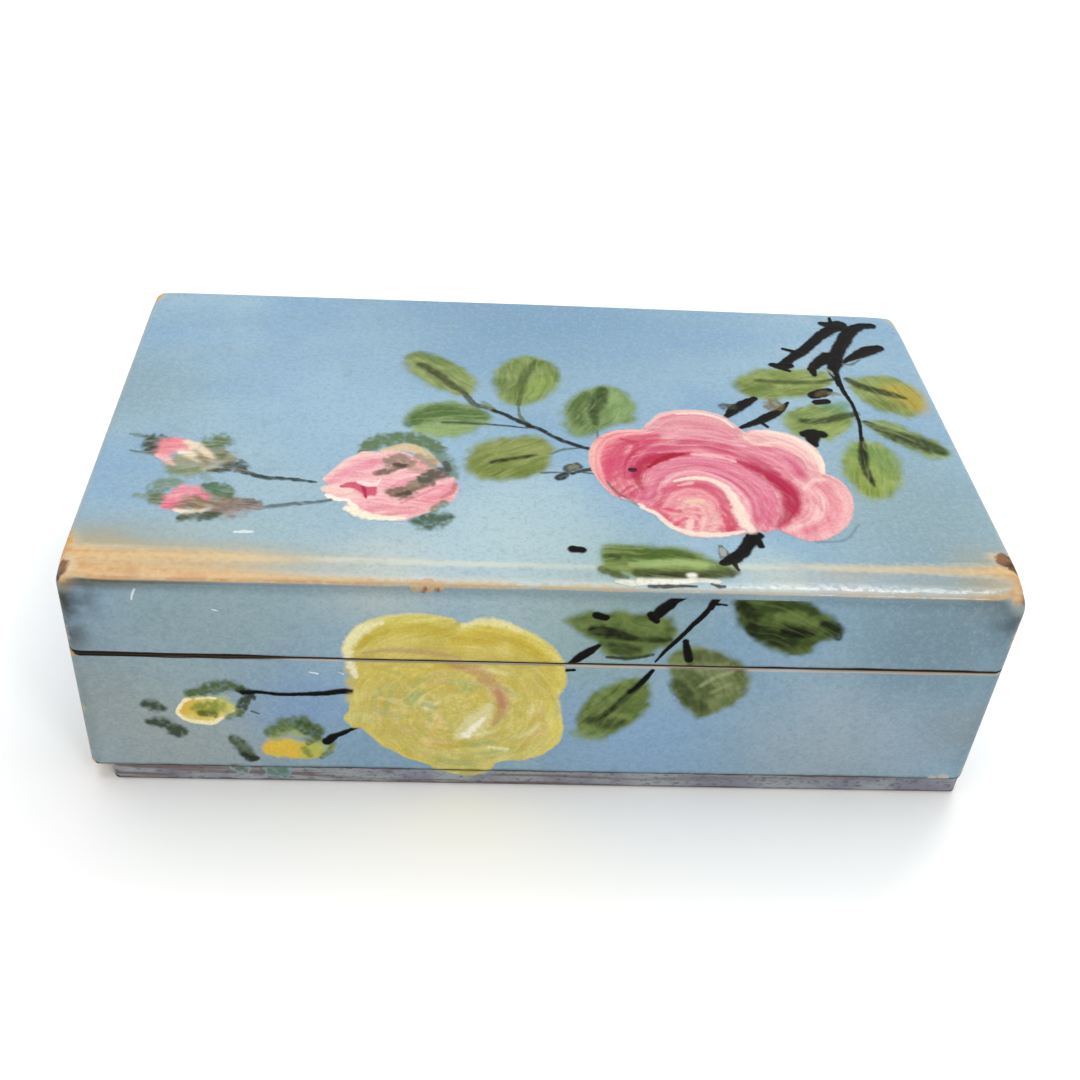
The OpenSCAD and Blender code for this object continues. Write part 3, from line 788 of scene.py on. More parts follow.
class Sheet:
    """Paint on one face, as a fine grid in millimetres: x along the box, s from the front arris of the lid
    (back over the lid is positive, down the front negative). It holds the colour, the share of the ground
    that is covered, and the thickness."""

    def __init__(self, x_span, s_span, lift=1.0, step=0.2):
        self.x, self.s = np.meshgrid(np.arange(*x_span, step), np.arange(*s_span, step))
        self.step, self.lift, self.seed = step, lift, 0.0
        self.colour = np.zeros((*self.x.shape, 3))
        self.cover = np.zeros(self.x.shape)
        self.body = np.zeros(self.x.shape)

    def part(self, points, reach):
        """Slices of the sheet that hold the points and all that lies within reach of them."""
        corner = np.array([self.x[0, 0], self.s[0, 0]])
        low = ((np.min(points, 0) - reach - corner) / self.step).astype(int)
        high = ((np.max(points, 0) + reach - corner) / self.step).astype(int) + 2
        low, high = np.maximum(low, 0), np.maximum(high, 0)
        return slice(low[1], high[1]), slice(low[0], high[0])

    def mix(self, colours, place):
        """The colour at a place from 0 to 1 along a row of colours."""
        row = [c if isinstance(c, np.ndarray) else self.lift * np.array(shade(*c)[:3]) for c in colours]
        row = np.array(row)
        if len(row) == 1:
            return np.broadcast_to(row[0], (*place.shape, 3))
        place = np.clip(place, 0, 1) * (len(row) - 1)
        return np.stack([np.interp(place, np.arange(len(row)), row[:, k]) for k in range(3)], -1)

    def lay(self, part, share, colour, thick):
        """Lays paint over paint: its share hides what lies below, and its thickness adds to it."""
        total = share + self.cover[part] * (1 - share)
        weight = np.divide(share, total, out=np.zeros_like(share), where=total > 0)[..., None]
        self.colour[part] = colour * weight + self.colour[part] * (1 - weight)
        self.cover[part] = total
        self.body[part] += share * (thick - 0.4 * self.body[part])
        self.seed += 7.31

    def brush(self, points, width, colours, strength=1.0, soft=0.35, dry=0.0, streaks=0.6, thick=0.05,
              rag=0.12, grit=0.0):
        """One pull of a brush along a smooth path. Colours run from the left to the right of the pull; hairs
        shift them in long streaks, a dry brush thins out towards the end, and grit lets the ground through in
        specks."""
        path = smooth_path(points)
        run = np.concatenate([[0], np.cumsum(np.hypot(*np.diff(path, axis=0).T))])
        widths = np.atleast_1d(width)
        half = np.interp(run, np.linspace(0, run[-1], len(widths)), widths) / 2
        part = self.part(path, half.max() * (1.2 + soft / 2) + 0.5)
        x, s = self.x[part], self.s[part]
        gap = np.hypot(x[..., None] - path[:, 0], s[..., None] - path[:, 1])
        near = np.argmin(gap - half, -1)
        heading = np.gradient(path, axis=0)
        heading /= np.hypot(*heading.T)[:, None]
        (over, up), (to_x, to_s) = (x - path[near, 0], s - path[near, 1]), heading[near].transpose(2, 0, 1)
        aside = up * to_x - over * to_s
        reach = np.hypot(aside, np.maximum(np.abs(over * to_x + up * to_s) - 0.2, 0)) / half[near]
        hair = ripple(aside * 1.5 + self.seed, run[near] / 10 + self.seed)
        hair = 0.65 * hair + 0.35 * ripple(aside * 3.7 + self.seed, run[near] / 4)
        ragged = rag * (2 * ripple(x / 0.9 + self.seed, s / 0.9) - 1)
        share = strength * smooth((1 - reach + ragged) / soft + 0.5)
        if grit:
            speck = 0.6 * ripple(x / 0.9 + self.seed, s / 0.9) + 0.4 * ripple(x / 0.45, s / 0.45 + self.seed)
            share = share * (1 - grit * smooth((0.62 - speck) / 0.4))
        if dry:
            share = share * smooth((hair + 0.8 - 1.6 * dry * run[near] / run[-1]) / 0.5)
        tone = 0.5 - 0.5 * aside / half[near] + streaks * (hair - 0.5)
        ridge = 0.5 * smooth((reach - 0.5) / 0.3)
        self.lay(part, share, self.mix(colours, tone), thick * (0.4 + hair + ridge))

    def touches(self, rows, thick, rag, grit=1.0):
        """Strokes of one colour each: path, widths, colour, strength, softness, and specks times the grit."""
        for path, widths, colour, strength, soft, specks in rows:
            self.brush(path, widths, [colour], strength, soft, thick=thick, rag=rag, grit=grit * specks)

    def twigs(self, rows, streaks=1.2, rag=0.1):
        """Strokes in near black: path and widths."""
        for path, widths in rows:
            self.brush(path, widths, INK, 1.0, 0.4, streaks=streaks, rag=rag)

    def pull(self, points, width, colours, hairs=8, strength=0.9, soft=0.5, thick=0.05, drag=0.6):
        """A loaded pull: the whole brush first, then its hairs."""
        self.brush(points, width, colours, strength, soft, thick=thick)
        self.drag(points, width, colours, hairs, drag)

    def drag(self, points, width, colours, hairs, strength, size=0.8):
        """Single hairs of a brush that drag other tones of its colours along parts of a pull."""
        path = smooth_path(points)
        heading = np.gradient(path, axis=0)
        heading /= np.hypot(*heading.T)[:, None]
        widths = np.atleast_1d(width)
        half = np.interp(np.linspace(0, 1, len(path)), np.linspace(0, 1, len(widths)), widths) / 2
        for start, length, offset, tone, wide in picks.random((hairs, 5)):
            count = max(int(len(path) * (0.25 + 0.5 * length)), 6)
            first = int(start * (len(path) - count))
            run = slice(first, first + count)
            normal = np.stack([-heading[run, 1], heading[run, 0]], -1)
            aside = normal * (half[run, None] * (1.9 * offset - 0.95))
            colour = self.mix(colours, np.array([0.975 - 0.95 * offset + 1.1 * (tone - 0.5)]))[0]
            hair = (path[run] + aside)[np.linspace(0, count - 1, 5).astype(int)]
            broad = np.array([0.3, 1, 1, 0.3]) * (0.5 + size * wide)
            self.brush(hair, broad, [colour], strength, 0.9, thick=0.03, rag=0.3)

    def fill(self, outline, colours, soft=0.9, strength=1.0, mottle=3.0, rag=0.4, thick=0.03):
        """A closed shape, brushed in: its colours change in patches of about the mottle's size."""
        path = smooth_path([*outline, outline[0]])
        part = self.part(path, 2)
        x, s = self.x[part], self.s[part]
        gap = np.min(np.hypot(x[..., None] - path[:, 0], s[..., None] - path[:, 1]), -1)
        (x1, s1), (x2, s2) = path[:-1].T, path[1:].T
        rise = np.where(s2 == s1, 1e-9, s2 - s1)
        crossed = ((s1 > s[..., None]) != (s2 > s[..., None])) & (
            x[..., None] < (x2 - x1) * (s[..., None] - s1) / rise + x1)
        depth = np.where(crossed.sum(-1) % 2 == 1, gap, -gap)
        share = strength * smooth((depth + rag * (2 * ripple(x / 1.7 + self.seed, s / 1.7) - 1)) / soft + 0.5)
        fine = 0.35 * mottle
        tone = 0.6 * ripple(x / mottle + self.seed, s / mottle) + 0.4 * ripple(x / fine, s / fine)
        self.lay(part, share, self.mix(colours, 1.5 * tone - 0.25), thick * (0.6 + 0.8 * tone))
        return part, share

    def streak(self, shape, middle, dark, light, strength, fine=0.7, turns=3.0):
        """Marks of the hairs round a middle: noise that changes fast with the distance from it and slowly
        round it darkens or lightens the paint of a filled shape."""
        part, share = shape
        x, s = self.x[part], self.s[part]
        away = np.hypot(x - middle[0], s - middle[1]) + 1.5 * ripple(x / 4 + self.seed, s / 4)
        turn = turns * np.arctan2(x - middle[0], s - middle[1]) + self.seed
        mark = 0.55 * ripple(away / fine, turn) + 0.45 * ripple(away / (0.45 * fine) + self.seed, 2.3 * turn)
        for colour, weight in ((dark, smooth((0.5 - mark) / 0.3)), (light, smooth((mark - 0.5) / 0.3))):
            weight = (strength * share * weight)[..., None]
            self.colour[part] += weight * (self.mix([colour], mark) - self.colour[part])
        self.seed += 7.31

    def soften(self, shape, radius):
        """Wet paint in a filled shape, run together: each colour becomes the mean of those around it."""
        part, share = shape
        steps = round(radius / self.step)
        total = np.concatenate([self.colour[part] * share[..., None], share[..., None]], -1)
        for axis in (0, 1):
            total = sum(np.roll(total, k, axis) * (steps + 1 - abs(k)) for k in range(-steps, steps + 1))
        mean = total[..., :3] / np.maximum(total[..., 3:], 1e-6)
        self.colour[part] += share[..., None] * (mean - self.colour[part])

    def leaves(self, rows, **look):
        """Leaves, dabbed in: outline, dark and light green. Each is kept with a point far off to its side."""
        return [(self.fill(outline, greens, **look), beside(outline)) for outline, greens in rows]

    def hairs(self, leaves, dark, light, strength):
        """Runs the paint of leaves together and marks it with the hairs that crossed them."""
        for shape, middle in leaves:
            self.soften(shape, 0.4)
            self.streak(shape, middle, dark, light, strength, turns=9.0)


def smooth_path(points):
    """Points 0.4 mm apart on a smooth curve through the given ones: between two of them it is the cubic whose
    directions there are those from the point before to the point after."""
    p = np.array(points, float)
    p = np.concatenate([[2 * p[0] - p[1]], p, [2 * p[-1] - p[-2]]])
    pieces = []
    for a, b, c, d in zip(p[:-3], p[1:-2], p[2:-1], p[3:]):
        t = np.arange(0, 1, min(0.4 / np.hypot(*(c - b)), 0.5))[:, None]
        pieces.append(b + 0.5 * t * ((c - a) + t * ((2 * a - 5 * b + 4 * c - d) + t * (3 * (b - c) + d - a))))
    return np.concatenate([*pieces, p[-2:-1]])


# The line that s is counted from lies this far behind the lid's front and below its top
ARRIS = 1.2
INK = [(24, 21, 16), (6, 6, 5), (14, 12, 10)]
CREAM = (252, 236, 214)


def beside(outline):
    """A point far off to the side of a long shape: 60 mm from its middle, along the line on which it is
    narrowest."""
    middle = np.mean(outline, 0)
    return middle + 60 * np.linalg.svd(np.array(outline) - middle)[2][1]


lid_art = Sheet((-94, 98), (-0.6, 115))
leaves = lid_art.leaves([
    ([(-33.1, 83.5), (-31.9, 87.4), (-28.9, 88.5), (-24.6, 86.6), (-20.6, 83.8), (-17.2, 80.1), (-15, 75.5),
      (-14.9, 71.4), (-16.9, 69.1), (-20.2, 69.5), (-24.1, 71.7), (-28, 75.2), (-31.3, 78.9)],
     [(124, 141, 88), (152, 167, 108)]),
    ([(-10.6, 77), (-10, 81.2), (-7.8, 85), (-4.7, 87.5), (-0.9, 88.1), (2.8, 86.2), (5.3, 82), (5.5, 77.3),
      (4, 72.7), (1.6, 68.7), (-2, 66), (-5.4, 65), (-8.2, 66.7), (-10, 70.6)],
     [(114, 135, 80), (144, 163, 100)]),
    ([(5.5, 62.2), (6.8, 67), (9, 70.6), (12.2, 73.4), (15.3, 75.3), (18.8, 74.9), (21.5, 72.7), (23, 68.3),
      (23.2, 63.5), (21.8, 59.6), (18, 57.9), (14.5, 55.7), (11.2, 53.1), (8.1, 53.1), (6, 56.3)],
     [(104, 129, 80), (136, 159, 106)]),
    ([(-31.6, 57.5), (-30.7, 61.8), (-28.4, 64), (-24.6, 65.4), (-20.7, 66), (-16.9, 65.2), (-13.6, 63.5),
      (-11.8, 60.5), (-12.3, 57.1), (-14.7, 54.6), (-17.6, 52), (-21.3, 51.1), (-25.5, 51.4), (-28.9, 53)],
     [(116, 143, 92), (150, 173, 122)]),
    ([(-17.5, 42.4), (-16.3, 46.4), (-13.9, 48.9), (-10.7, 50.6), (-6.9, 51.9), (-2.7, 52.4), (0.6, 51.7),
      (2.5, 48.5), (2.4, 43.7), (1, 39.8), (-2.1, 37), (-5.8, 35.4), (-9.8, 34.6), (-13.8, 34.8),
      (-16.7, 37.4)],
     [(114, 129, 66), (146, 157, 94)]),
    ([(50, 79.7), (52, 82.5), (55.6, 85.4), (59.9, 85.9), (64.6, 86.5), (69.3, 86.6), (73.3, 85.7),
      (75.3, 83.4), (73.9, 79.2), (68.2, 74.1), (64.4, 73.2), (60.1, 71.7), (56, 71.2), (52.3, 72.5),
      (50.3, 75.6)],
     [(124, 141, 78), (156, 171, 106)]),
    ([(78.6, 82.1), (81.5, 83.1), (86, 84.6), (90.2, 84.6), (93.6, 81.9), (95.7, 78.3), (96.4, 73.8),
      (95.2, 69.4), (91.7, 65.9), (88.2, 65.8), (85.2, 67.9), (82.5, 70.9), (80, 74.8)],
     [(124, 141, 82), (152, 167, 104)]),
    ([(59.1, 63.9), (61.7, 66.9), (65.6, 69.2), (69.8, 70.2), (74.2, 69.8), (76.6, 67.3), (77.3, 63.9),
      (74.8, 60), (71.6, 56.6), (68.6, 54.1), (65.9, 54.9), (62.7, 55.6), (60.1, 56.8), (58.8, 60.1)],
     [(118, 139, 80), (152, 171, 106)]),
    ([(78.9, 62.6), (82.2, 64), (85.8, 62.8), (89.1, 60.3), (92.2, 57.5), (95.3, 54.7), (96.5, 51.5),
      (95.4, 48.7), (92.8, 47.9), (89.5, 49.8), (86, 52.5), (83.1, 56.1), (80.4, 58.9)],
     [(110, 133, 82), (148, 169, 114)]),
    ([(69.9, 47.3), (71.8, 51.4), (74.4, 54.2), (77.5, 55.1), (80.5, 53.6), (82.5, 50.4), (83.2, 45.7),
      (82.4, 40.3), (80.1, 35.4), (77.3, 32.4), (74.2, 31.2), (72, 33), (70.5, 36.3), (69.6, 40.4)],
     [(122, 145, 74), (158, 175, 98)]),
    ([(10.8, 10.9), (12.2, 12.9), (14.8, 13.3), (19.4, 12.8), (23.7, 12.6), (27.9, 12.4), (30.3, 11.1),
      (33, 9.6), (35.7, 8.3), (38, 6.5), (38.5, 4.6), (36.6, 3.1), (33.2, 2.5), (28.6, 2.3), (23.2, 2.2),
      (18.3, 2.3), (15, 2.8), (12.2, 3.3), (10.5, 5.1)],
     [(94, 117, 58), (128, 149, 84)]),
], soft=3.0, mottle=2.0, rag=0.7)

# Their ribs, shaded sides and pale places, the flaked lower side of the leaf on the edge, and thin stems
lid_art.touches([
    ([(-32.1, 85.5), (-28.9, 87.5), (-24.6, 85.2), (-20.2, 81.4), (-16.7, 76.9)], [1.9, 3.6, 3.1, 2.2, 1.5],
     (98, 118, 54), 0.6, 1.2, 0.5),
    ([(-28.6, 82.2), (-26.6, 80.8), (-23.6, 77.2), (-20.7, 73.1), (-17.8, 70)], [2.6, 3.2, 2.6, 2.4, 1.6],
     (60, 62, 40), 0.9, 0.9, 0.6),
    ([(-1.2, 72.2), (1.4, 75), (3.3, 77.7)], [5.5, 6.3, 3.7], (146, 168, 88), 0.75, 1.2, 0.3),
    ([(-4.9, 65.9), (-4.4, 71.2), (-3.1, 77.6), (-1.1, 82.8), (0.3, 85.7)], [1.4, 2.1, 2.6, 2.8, 1.7],
     (76, 92, 48), 0.85, 1.1, 0.5),
    ([(-8.9, 75.6), (-6.5, 73), (-6.2, 68.5)], [4.5, 4.8, 3], (98, 118, 60), 0.6, 1.3, 0.6),
    ([(2.5, 85.2), (4.6, 82), (5, 77.3)], [2.1, 2.6, 1.5], (92, 114, 52), 0.6, 1.2, 0.4),
    ([(18.3, 69.9), (20.4, 66.5), (19.4, 62.1)], [6.6, 6.3, 3.5], (142, 170, 112), 0.75, 1.2, 0.3),
    ([(16.1, 73), (15, 69), (13.3, 64.1), (13.3, 58.6)], [2.9, 4, 3.1, 1.4], (48, 66, 34), 0.95, 1.1, 0.5),
    ([(12, 70.7), (9.1, 65.3), (9.3, 58.5)], [3, 4.1, 3], (74, 96, 48), 0.75, 1.3, 0.6),
    ([(-30.2, 56.3), (-27.4, 59.3), (-23.1, 61.6), (-18.4, 60.8), (-13.7, 60.1)], [3.5, 5.5, 6.3, 5.7, 3.8],
     (72, 102, 50), 0.85, 1.2, 0.45),
    ([(-28.5, 53.4), (-23.8, 53.1), (-18, 54.5)], [3.1, 4.3, 3.6], (150, 174, 116), 0.75, 1.2, 0.3),
    ([(-22.7, 56.9), (-17.5, 57), (-12.3, 56.7), (-7.7, 56.4), (-3.4, 55.7)], [0.9, 1, 0.9, 0.8, 0.6],
     (50, 64, 44), 0.9, 0.7, 0.3),
    ([(-13.1, 47.3), (-7.5, 48.6), (-0.6, 47.6)], [4.2, 5.5, 4.9], (150, 158, 94), 0.55, 1.3, 0.4),
    ([(-15.5, 39.4), (-9.2, 38), (-2.4, 39.7)], [4.6, 5.8, 4.5], (108, 124, 48), 0.55, 1.3, 0.5),
    ([(-11.6, 41.4), (-9.6, 42.2), (-6.8, 43.1), (-4, 43.9), (-1.4, 44.8)], [1.1, 1.5, 1.2, 1.4, 0.6],
     (34, 36, 20), 0.95, 0.6, 0.35),
    ([(51.1, 77.4), (53.9, 75.6), (58.2, 77.1)], [4, 5.4, 3], (90, 110, 46), 0.7, 1.2, 0.5),
    ([(55.7, 80.2), (61.5, 79.9), (66.6, 80), (71.9, 80.6), (75.5, 82)], [1.6, 1.9, 1.9, 1.6, 1.2],
     (62, 74, 38), 0.9, 1.0, 0.4),
    ([(63.4, 75.4), (68.5, 75.5)], [3.3, 4], (102, 120, 56), 0.6, 1.2, 0.5),
    ([(90.3, 77.3), (93.2, 74.2), (94, 70.7)], [7, 9.3, 6.2], (190, 160, 52), 0.7, 1.4, 0.3),
    ([(82.8, 72.2), (85.8, 70.1), (89.1, 71)], [4, 5.4, 3.5], (106, 118, 50), 0.6, 1.2, 0.5),
    ([(79.2, 82.1), (81.2, 79.8), (84.2, 77.6), (87.4, 76.3), (90.2, 75), (91.7, 74.2)],
     [1.7, 2.4, 2.9, 2.9, 2.5, 1.2], (40, 46, 26), 0.95, 0.8, 0.4),
    ([(68.9, 59.5), (72.1, 60.8)], [4.8, 5.4], (152, 170, 92), 0.7, 1.2, 0.3),
    ([(72.5, 68.9), (75.2, 69.9)], [4.6, 4], (96, 140, 104), 0.65, 1.2, 0.4),
    ([(62.2, 64.8), (63.6, 59.8), (66, 57.3)], [2.8, 4.2, 3.6], (100, 120, 54), 0.6, 1.3, 0.6),
    ([(64.1, 62.3), (67.6, 62.4), (71.3, 63.7), (75.2, 65.5), (77.6, 66.4)], [2.3, 2.9, 2.7, 2.5, 2.1],
     (46, 56, 28), 0.92, 0.9, 0.45),
    ([(79.4, 62.6), (81.8, 60.6), (84.9, 57.3), (88.2, 55.4), (91.2, 53.8), (94.6, 51.5)],
     [1.8, 2.9, 4.3, 5.4, 5.6, 3.5], (38, 48, 24), 0.92, 0.95, 0.5),
    ([(77.1, 49.5), (79.9, 47.6), (79.7, 43.3)], [6.3, 7.1, 3], (102, 136, 76), 0.65, 1.3, 0.4),
    ([(71.2, 43.1), (72.2, 37.8), (74.5, 34.2)], [3.5, 4.2, 4.1], (122, 142, 56), 0.6, 1.3, 0.5),
    ([(76.8, 55.9), (75.8, 50.2), (74.9, 45.5), (74.8, 41.7), (75.1, 38.3), (75.3, 36.4)],
     [1.2, 2, 2.3, 2.2, 1.9, 0.6], (24, 25, 15), 0.97, 0.5, 0.2),
    ([(12.8, 9.6), (16.6, 10.1), (21.2, 9.9), (25.9, 10), (29.5, 8.8)], [3.3, 4.2, 4.3, 3.8, 2.4],
     (66, 90, 30), 0.85, 1.1, 0.4),
    ([(17, 6.5), (21.3, 6.9), (26.4, 7.4), (31.3, 6.9), (35.8, 6.1)], [1.3, 2.2, 2.3, 2.3, 1.4],
     (160, 184, 118), 0.9, 1.0, 0.2),
    ([(10.8, 4.5), (13, 3.4), (15.4, 2.6)], [2, 2, 1.2], (54, 76, 26), 0.85, 0.9, 0.4),
    ([(18, 3.8), (22.6, 3.9), (27.6, 4), (32.5, 3.9), (36.8, 4.3)], [2, 2.4, 2.4, 2.4, 2.4], (44, 64, 22),
     0.92, 0.9, 0.35),
    ([(20.4, 3.3), (24.2, 3.4), (28.7, 3.2), (32.1, 3.6)], [1.1, 1.3, 1.1, 0.9], (14, 16, 9), 0.9, 0.7,
     0.55),
    ([(34.9, 5.5), (37.5, 4.9)], [3.5, 3], (64, 78, 42), 0.75, 1.0, 0.6),
    ([(13.1, 9), (14.1, 8.7)], [1.3, 1.3], (40, 44, 22), 0.8, 0.8, 0.3),
    ([(18.2, 1.8), (22.3, 1.6), (26.4, 1.7), (30.6, 2.1), (34.3, 1.9)], [1.2, 1.5, 1.4, 1.2, 1.2],
     (246, 244, 230), 0.95, 0.6, 0.5),
    ([(13.6, 1.4), (16.5, 0.9), (19.3, 1)], [1, 1.6, 0.9], (238, 236, 216), 0.85, 0.8, 0.75),
    ([(28.9, 3.5), (29.4, 3.5)], [1.4, 1.4], (250, 250, 238), 0.95, 0.6, 0.0),
    ([(20.1, 0.2), (23, 0.3), (26.3, 0.4), (29.6, 0.5)], [0.8, 1, 0.8, 0.6], (16, 15, 11), 0.97, 0.5, 0.2),
    ([(33.2, 1.1), (34.3, 0.6), (35.4, 0.6)], [0.7, 1, 0.8], (16, 15, 11), 0.97, 0.5, 0.2),
    ([(-18.1, 70), (-16.6, 67.4), (-15.5, 65.2), (-12.6, 64), (-10.3, 62.3)], [1.6, 1.8, 2, 1.7, 1.3],
     (74, 76, 52), 0.9, 0.7, 0.4),
    ([(-13.1, 66.1), (-11, 63.6)], [1.4, 1.2], (120, 130, 84), 0.75, 0.9, 0.4),
    ([(-4.6, 67.7), (-4.8, 63.3), (-4.2, 59.5), (-2, 56.6)], [0.6, 0.6, 1.2, 1.1], (92, 104, 68), 0.85, 0.8,
     0.4),
    ([(13.5, 55.3), (13.2, 51.6), (12, 48.7)], [0.6, 0.5, 0.5], (80, 92, 72), 0.65, 0.8, 0.3),
    ([(2.5, 45.7), (4.9, 47.3), (8.7, 48.2)], [0.6, 0.9, 0.6], (84, 98, 76), 0.75, 0.8, 0.3),
    ([(-10.8, 62.7), (-8, 61.1), (-5.7, 59), (-2.9, 57)], [1.1, 1.4, 1.4, 1.4], (34, 34, 24), 0.97, 0.6,
     0.25),
    ([(-2.9, 56.5), (-0.2, 55.4), (2.5, 52.9), (5.6, 50.6), (8.5, 49), (11.2, 47.9)],
     [1.2, 1.4, 1.2, 1.4, 1.3, 1.1], (30, 30, 22), 0.97, 0.6, 0.25),
    ([(-0.3, 37.9), (3.4, 38.3), (6.5, 38)], [0.7, 0.7, 1], (72, 80, 66), 0.8, 0.7, 0.3),
    ([(6.5, 38), (8.9, 39.2), (11.9, 40.1)], [0.8, 1.3, 1.6], (40, 40, 32), 0.92, 0.6, 0.3),
    ([(9.3, 38.5), (11.3, 38.2)], [0.8, 0.6], (66, 68, 56), 0.8, 0.7, 0.3),
    ([(6, 39.9), (7.4, 40.7)], [2.9, 2.9], (58, 58, 46), 0.9, 0.6, 0.3),
    ([(6.5, 40.3), (7.2, 40.7)], [1.7, 1.7], (128, 128, 104), 0.9, 0.7, 0.2),
    ([(3.7, 36.4), (4.7, 37.2)], [2.3, 1.9], (30, 30, 24), 0.95, 0.6, 0.3),
], thick=0.02, rag=0.15, grit=0.5)
lid_art.hairs(leaves, (78, 96, 44), (166, 178, 116), 0.32)

# Twigs on the lid, in near black, with a few lighter touches
lid_art.twigs([
    ([(83.3, 108.2), (80.7, 107.6), (76.1, 102.9), (71.5, 96.8), (68.1, 93.3), (65.1, 89.8), (62.7, 87.4)],
     [3.4, 4, 3.3, 3.2, 3.4, 2.9, 2.6]),
    ([(78.8, 110.2), (80.6, 109.7), (83.2, 110.3), (84.4, 108.2)], [2.5, 3.6, 3.8, 2]),
    ([(81.2, 113.4), (81, 110.2)], [1, 1.3]),
    ([(65.5, 96.2), (67.5, 95.2), (69, 93.8)], [1.3, 1.7, 2.2]),
    ([(61.3, 87.9), (63.3, 87.4), (65.4, 87.9)], [2.3, 3.3, 2.4]),
    ([(63.1, 86.5), (64.7, 85.5)], [1.7, 1.3]),
    ([(91.6, 109.9), (88.5, 109.3), (85.2, 106.2), (82, 100.5), (79.3, 95), (77.7, 90.1)],
     [2.9, 3.8, 4.2, 4.1, 3.9, 4.4]),
    ([(77.8, 90.6), (76.4, 85.8), (76.6, 82), (76.4, 79.3)], [4.1, 3.3, 2.3, 1.3]),
    ([(70.9, 86.6), (73.1, 89.5), (76.5, 93)], [2.4, 3.6, 4.5]),
    ([(71, 86.1), (71, 83.8)], [2.3, 1.3]),
    ([(90.8, 98.2), (87.7, 96.6), (84.4, 94.1), (81.8, 92.1), (80, 90.1)], [3.3, 4.4, 3.7, 2.3, 0.9]),
    ([(76.9, 81.1), (76.9, 77), (77.5, 73), (77.9, 69.5), (77.8, 65.1), (77.6, 61.3), (76.5, 55.1)],
     [1.3, 1.4, 1.2, 1, 1.1, 1, 0.9]),
    ([(68.9, 74.1), (71.5, 75.5), (73, 76.5)], [3, 3.8, 2.5]),
    ([(69.2, 71), (71.4, 71.5)], [2.4, 2.4]),
    ([(53.4, 71.6), (51.3, 69.8), (48.4, 67.1), (45.2, 63.1)], [1.9, 3.3, 3.1, 1.3]),
    ([(61.6, 70.4), (59.2, 66.9), (56.2, 64.2), (52.2, 61.2), (48.1, 58.6)], [0.9, 2.3, 3, 2.3, 1.2]),
    ([(53.8, 60.8), (54.6, 59.6)], [1.2, 1.1]),
    ([(63.4, 56.8), (65.5, 57.3), (67.3, 56.9)], [2.7, 3.4, 3]),
    ([(64.8, 56.5), (64.5, 52.8)], [4, 2.6]),
    ([(45, 17.2), (44, 16.8), (42.7, 14.1), (40.9, 11.4), (38.9, 9.4), (36.5, 7.7)],
     [2.8, 3.2, 3, 3.2, 3.5, 2.1]),
    ([(44.9, 15.5), (45.2, 13.8)], [2, 1.7]),
    ([(38.4, 8.1), (39.1, 5.6)], [1.7, 0.7]),
    ([(5.1, 11), (6.6, 10.8)], [2.3, 2.3]),
])
lid_art.touches([
    ([(70.3, 74.6), (72, 75.6)], [2, 2], (96, 82, 52), 0.8, 0.9, 0.5),
    ([(73.7, 75.1), (75, 75.2)], [1.8, 1.5], (112, 120, 88), 0.7, 0.9, 0.3),
    ([(74, 87.6), (75.4, 85.8), (76, 83.9)], [0.5, 1.1, 0.4], (150, 160, 150), 0.85, 0.7, 0.2),
    ([(79.9, 89.7), (82, 89.7), (84.4, 91.7)], [0.9, 1.1, 0.5], (96, 104, 104), 0.85, 0.8, 0.2),
    ([(45.8, 67.9), (47.5, 67.9)], [2.9, 2.3], (62, 60, 46), 0.85, 0.8, 0.4),
    ([(56.5, 68.1), (58.2, 69.5), (59.2, 68.2)], [2.6, 4.6, 2.6], (120, 106, 64), 0.92, 0.8, 0.4),
    ([(36.5, 12.9), (36.7, 11.3), (36.2, 9.6)], [1.1, 2.4, 1], (98, 102, 94), 0.85, 0.6, 0.3),
    ([(36.8, 12), (36.8, 10.6)], [1.2, 1.2], (168, 174, 166), 0.85, 0.8, 0.2),
], thick=0.05, rag=0.25)

# Half-open bud: sepals, pink ground, petals, and the marks over them
lid_art.touches([
    ([(-40.6, 44.2), (-39.1, 47), (-36.4, 48.7), (-32.8, 50), (-29.6, 49.7), (-26.4, 48.2), (-23.4, 45.8)],
     [2.4, 4.7, 5.5, 4.7, 4.6, 4.7, 3], (92, 114, 62), 0.9, 1.1, 0.4),
    ([(-23.6, 43.8), (-21.3, 40), (-20, 35.4)], [3.4, 3.5, 2.2], (98, 120, 86), 0.7, 1.3, 0.4),
    ([(-27, 19.3), (-24.9, 19.3), (-22.7, 20.4), (-21.2, 21.2)], [4, 5.9, 4.2, 2.4], (64, 86, 56), 0.92,
     1.1, 0.45),
], thick=0.03, rag=0.3, grit=0.5)
bud = lid_art.fill([(-48.7, 33.5), (-47.5, 36.2), (-45.1, 39.4), (-42.5, 42.6), (-40.8, 44.2), (-37.6, 44.3),
              (-34, 44.8), (-30.9, 44), (-27.7, 41.8), (-25.4, 39.1), (-23.1, 37.6), (-21.4, 35.4),
              (-19.8, 32.4), (-19.4, 29.5), (-20.5, 26.6), (-22.7, 25.1), (-24.4, 22.9), (-26.6, 21.4),
              (-29.1, 19.9), (-32.1, 19.1), (-35.5, 19.4), (-38.5, 20), (-40.7, 21), (-42.9, 22.3),
              (-42.1, 23.8), (-41.9, 25.2), (-44.3, 25.9), (-46.1, 26.2), (-47.4, 27.3), (-47.1, 29.5),
              (-47.5, 31.3), (-48.2, 32)],
             [(238, 164, 174), (246, 204, 198)], soft=0.6, rag=0.3)
